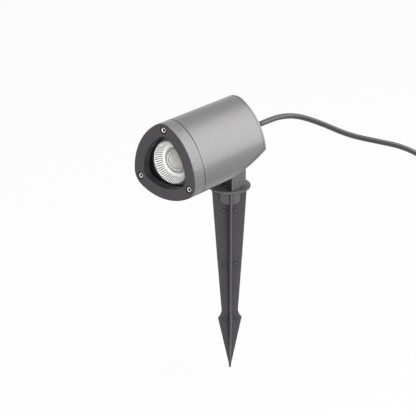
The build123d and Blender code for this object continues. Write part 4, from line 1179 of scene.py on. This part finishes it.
def across_blades(vector):
    """How far this points square across each of the crossed blades, the greater of the two first."""
    sizes = sorted((abs(vector.x + vector.y), abs(vector.x - vector.y)))
    return sizes[1] / math.sqrt(2), sizes[0] / math.sqrt(2)


def clear_of_pads(place):
    """Off the hub, and either outside the pads or below the last of them."""
    nearest = PADS_REACH if place.z > BELOW_PADS_Z else 1
    return math.hypot(place.x, place.y) > nearest and not on_hub(place)


def on_a_border(place, normal):
    """The bevelled borders of the blades."""
    return 0.85 < across_blades(normal)[0] < 0.99 and clear_of_pads(place)


def on_an_edge(place, normal):
    """The narrow outer edges of the blades, where the mould's halves met."""
    narrow = across_blades(place)[1] < 0.1 and across_blades(normal)[0] > 0.9
    return narrow and clear_of_pads(place)


def round_the_hub(place, normal):
    """The hub's wall and its rounded foot, which face away from its axis: they get painted light."""
    off_axis = math.hypot(place.x, place.y)
    outwards = normal.x * place.x + normal.y * place.y
    return on_hub(place) and outwards > 0.2 * off_axis and off_axis > 9.5


def in_the_fork(place, normal):
    """The front edges of the cheeks and the walls of the slot between them: they get painted shade."""
    in_the_slot = abs(place.x) < CHEEK_INNER + 0.1
    return place.z > DISC_THICKNESS + 0.2 and (normal.y < -0.5 or in_the_slot)


# The bezel's face, mouth wall, screw sinks and the mouth's end get painted shade.
bezel_patches = (face_painted_shade, face_shade_mask), (mouth_painted_shade, in_the_mouth), (painted_shade_black, in_painted_shade)
dress(bezel, cast_silver, *bezel_patches)
# The hub gets painted light.
spike_patches = (smooth_nylon, on_a_border), (lighter_edge_nylon, on_an_edge), (hub_painted_light, round_the_hub)
dress(spike, glass_filled_nylon, *spike_patches)
# The cheeks' front edges and the fork get painted shade.
dress(base, cast_clevis, (fork_painted_shade, in_the_fork))

NEW_PIECES = (
    (bezel, "head", "front_bezel", "bezel_grey", None),
    (tube, "head", "head_housing", "silver_aluminium", satin_silver),
    (cover, "head", "rear_cover", "silver_aluminium", satin_silver),
    (bezel_screws, "head", "bezel_screws", "stainless", None),
    (rear_screws, "head", "rear_screws", "stainless", None),
    (gland_body, "head", "gland_body", "black_nylon", black_nylon),
    (gland_nut, "head", "gland_nut", "black_nylon", black_nylon),
    (bend_sleeve, "head", "bend_sleeve", "black_rubber", moulded_rubber),
    (lamp_body, "head", "lamp_body", "lamp_metal", lamp_enamel),
    (optic, "head", "lamp_lens", "lamp_lens", None),
    (dome, "head", None, "lamp_lens", clear_dome),
    (board, "head", "led_board", "circuit_board", board_white),
    (light_chip, "head", None, "circuit_board", phosphor),
    (base, "base", "swivel_base", "clevis_grey", None),
    (pivot_bolt, "base", "pivot_bolt", "stainless", None),
    (pivot_nut, "base", "pivot_nut", "stainless", turned_stainless),
    (spike_bolt, "base", "spike_bolt", "stainless", turned_stainless),
    (spike, "spike", "ground_spike", "spike_plastic", None),
)
for piece, body, node, slot, finish in NEW_PIECES:
    if finish:
        dress(piece, finish)
    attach(piece, body)
    if node:
        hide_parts(node)
dress(lead, rubber_sheath)

CAD_FINISHES = (
    (gasket_rubber, "bezel_gasket", "glass_gasket"), (black_nylon, "coil_tie"),
    (green_yellow, "earth_core", "earth_wire"),
    (zinc_plate, "earth_screw", "holder_bracket", "holder_screws", "spike_nut", "spike_washer"),
    (fibre, "friction_washers"), (toughened_glass, "front_glass"),
    (moulded_rubber, "gland_seal", "plug_body", "plug_sleeve"), (rubber_sheath, "inner_cable"),
    (black_enamel, "lamp_baffle"), (steatite, "lamp_holder"),
    (nickel_brass, "lamp_pins", "plug_earth_clips", "plug_pins"),
    (brown_pvc, "live_core", "live_wire"), (blue_pvc, "neutral_core", "neutral_wire"),
    (grey_silicone, "rear_gasket"), (milky_nylon, "terminal_block"),
    (bare_brass, "terminal_screws"),
)
for finish, *names in CAD_FINISHES:
    for name in names:
        for slot in nodes[name].material_slots:
            slot.material = finish

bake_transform(lead, "head", "base", EXIT, (0.1, 0.28, -0.01))
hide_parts("cord_run", "cord_coil", "cord_tail")

# ---------------------------------------------------------------- light and floor
bpy.context.scene.view_settings.view_transform = "Standard"


def soft_box(name, place, width, height, power):
    """A soft box at this place, in metres, that faces the head."""
    light = bpy.data.lights.new(name, "AREA")
    light.shape = "RECTANGLE"
    light.size, light.size_y = width, height
    light.energy = power
    box = bpy.data.objects.new(name, light)
    box.location = place
    aim = Vector((0, -0.03, 0.03)) - Vector(place)
    box.rotation_euler = aim.to_track_quat("-Z", "Y").to_euler()
    bpy.context.scene.collection.objects.link(box)


soft_box("right_rear_box", (0.88, 1.08, 0.66), 1.1, 1.5, 11)
soft_box("right_front_box", (1.22, -0.92, 0.55), 0.8, 0.8, 15)
soft_box("top_box", (0.25, 0.1, 1.5), 0.4, 0.4, 5)


def white_to_sight(owner):
    """1 for rays from the camera, a gloss or a clear surface, 0 for those that only light."""
    rays = add(owner, "LightPath").outputs
    seen = {0: rays["Is Camera Ray"], 1: rays["Is Glossy Ray"]}
    either = add(owner, "Math", seen, operation="MAXIMUM").outputs[0]
    all_three = {0: either, 1: rays["Is Transmission Ray"]}
    return add(owner, "Math", all_three, operation="MAXIMUM").outputs[0]


WORLD_LIGHT = 0.28
world = bpy.data.worlds.new("white_studio")
bpy.context.scene.world = world
world.use_nodes = True
world.node_tree.nodes.clear()
strength = add(world, "MapRange", {"Value": white_to_sight(world), "To Min": WORLD_LIGHT})
sky = add(world, "Background", {"Color": (1, 1, 1, 1), "Strength": strength.outputs[0]})
add(world, "OutputWorld", {"Surface": sky.outputs[0]})

# White paper sweep: what is seen of it is mostly plain white, and the rest takes the shadows.
PLAIN_WHITE = 0.95
paper = blank("white_paper_sweep")
lit = add(paper, "BsdfPrincipled", {"Base Color": colour("#FFFFFF"), "Roughness": 0.9}).outputs[0]
glow = add(paper, "Emission", {"Color": (1, 1, 1, 1), "Strength": 1.0}).outputs[0]
seen = {0: white_to_sight(paper), 1: PLAIN_WHITE}
share = add(paper, "Math", seen, operation="MULTIPLY").outputs[0]
sweep = add(paper, "MixShader", {0: share, 1: lit, 2: glow})
add(paper, "OutputMaterial", {"Surface": sweep.outputs[0]})

bpy.ops.object.select_all(action="DESELECT")
bpy.ops.mesh.primitive_plane_add(size=8, location=(0, 0, SPIKE_TIP_Z * MM))
floor = bpy.context.object
floor.name = "floor"
floor.data.transform(Matrix.Translation(floor.location))
floor.location = (0, 0, 0)
floor.data.materials.append(paper)
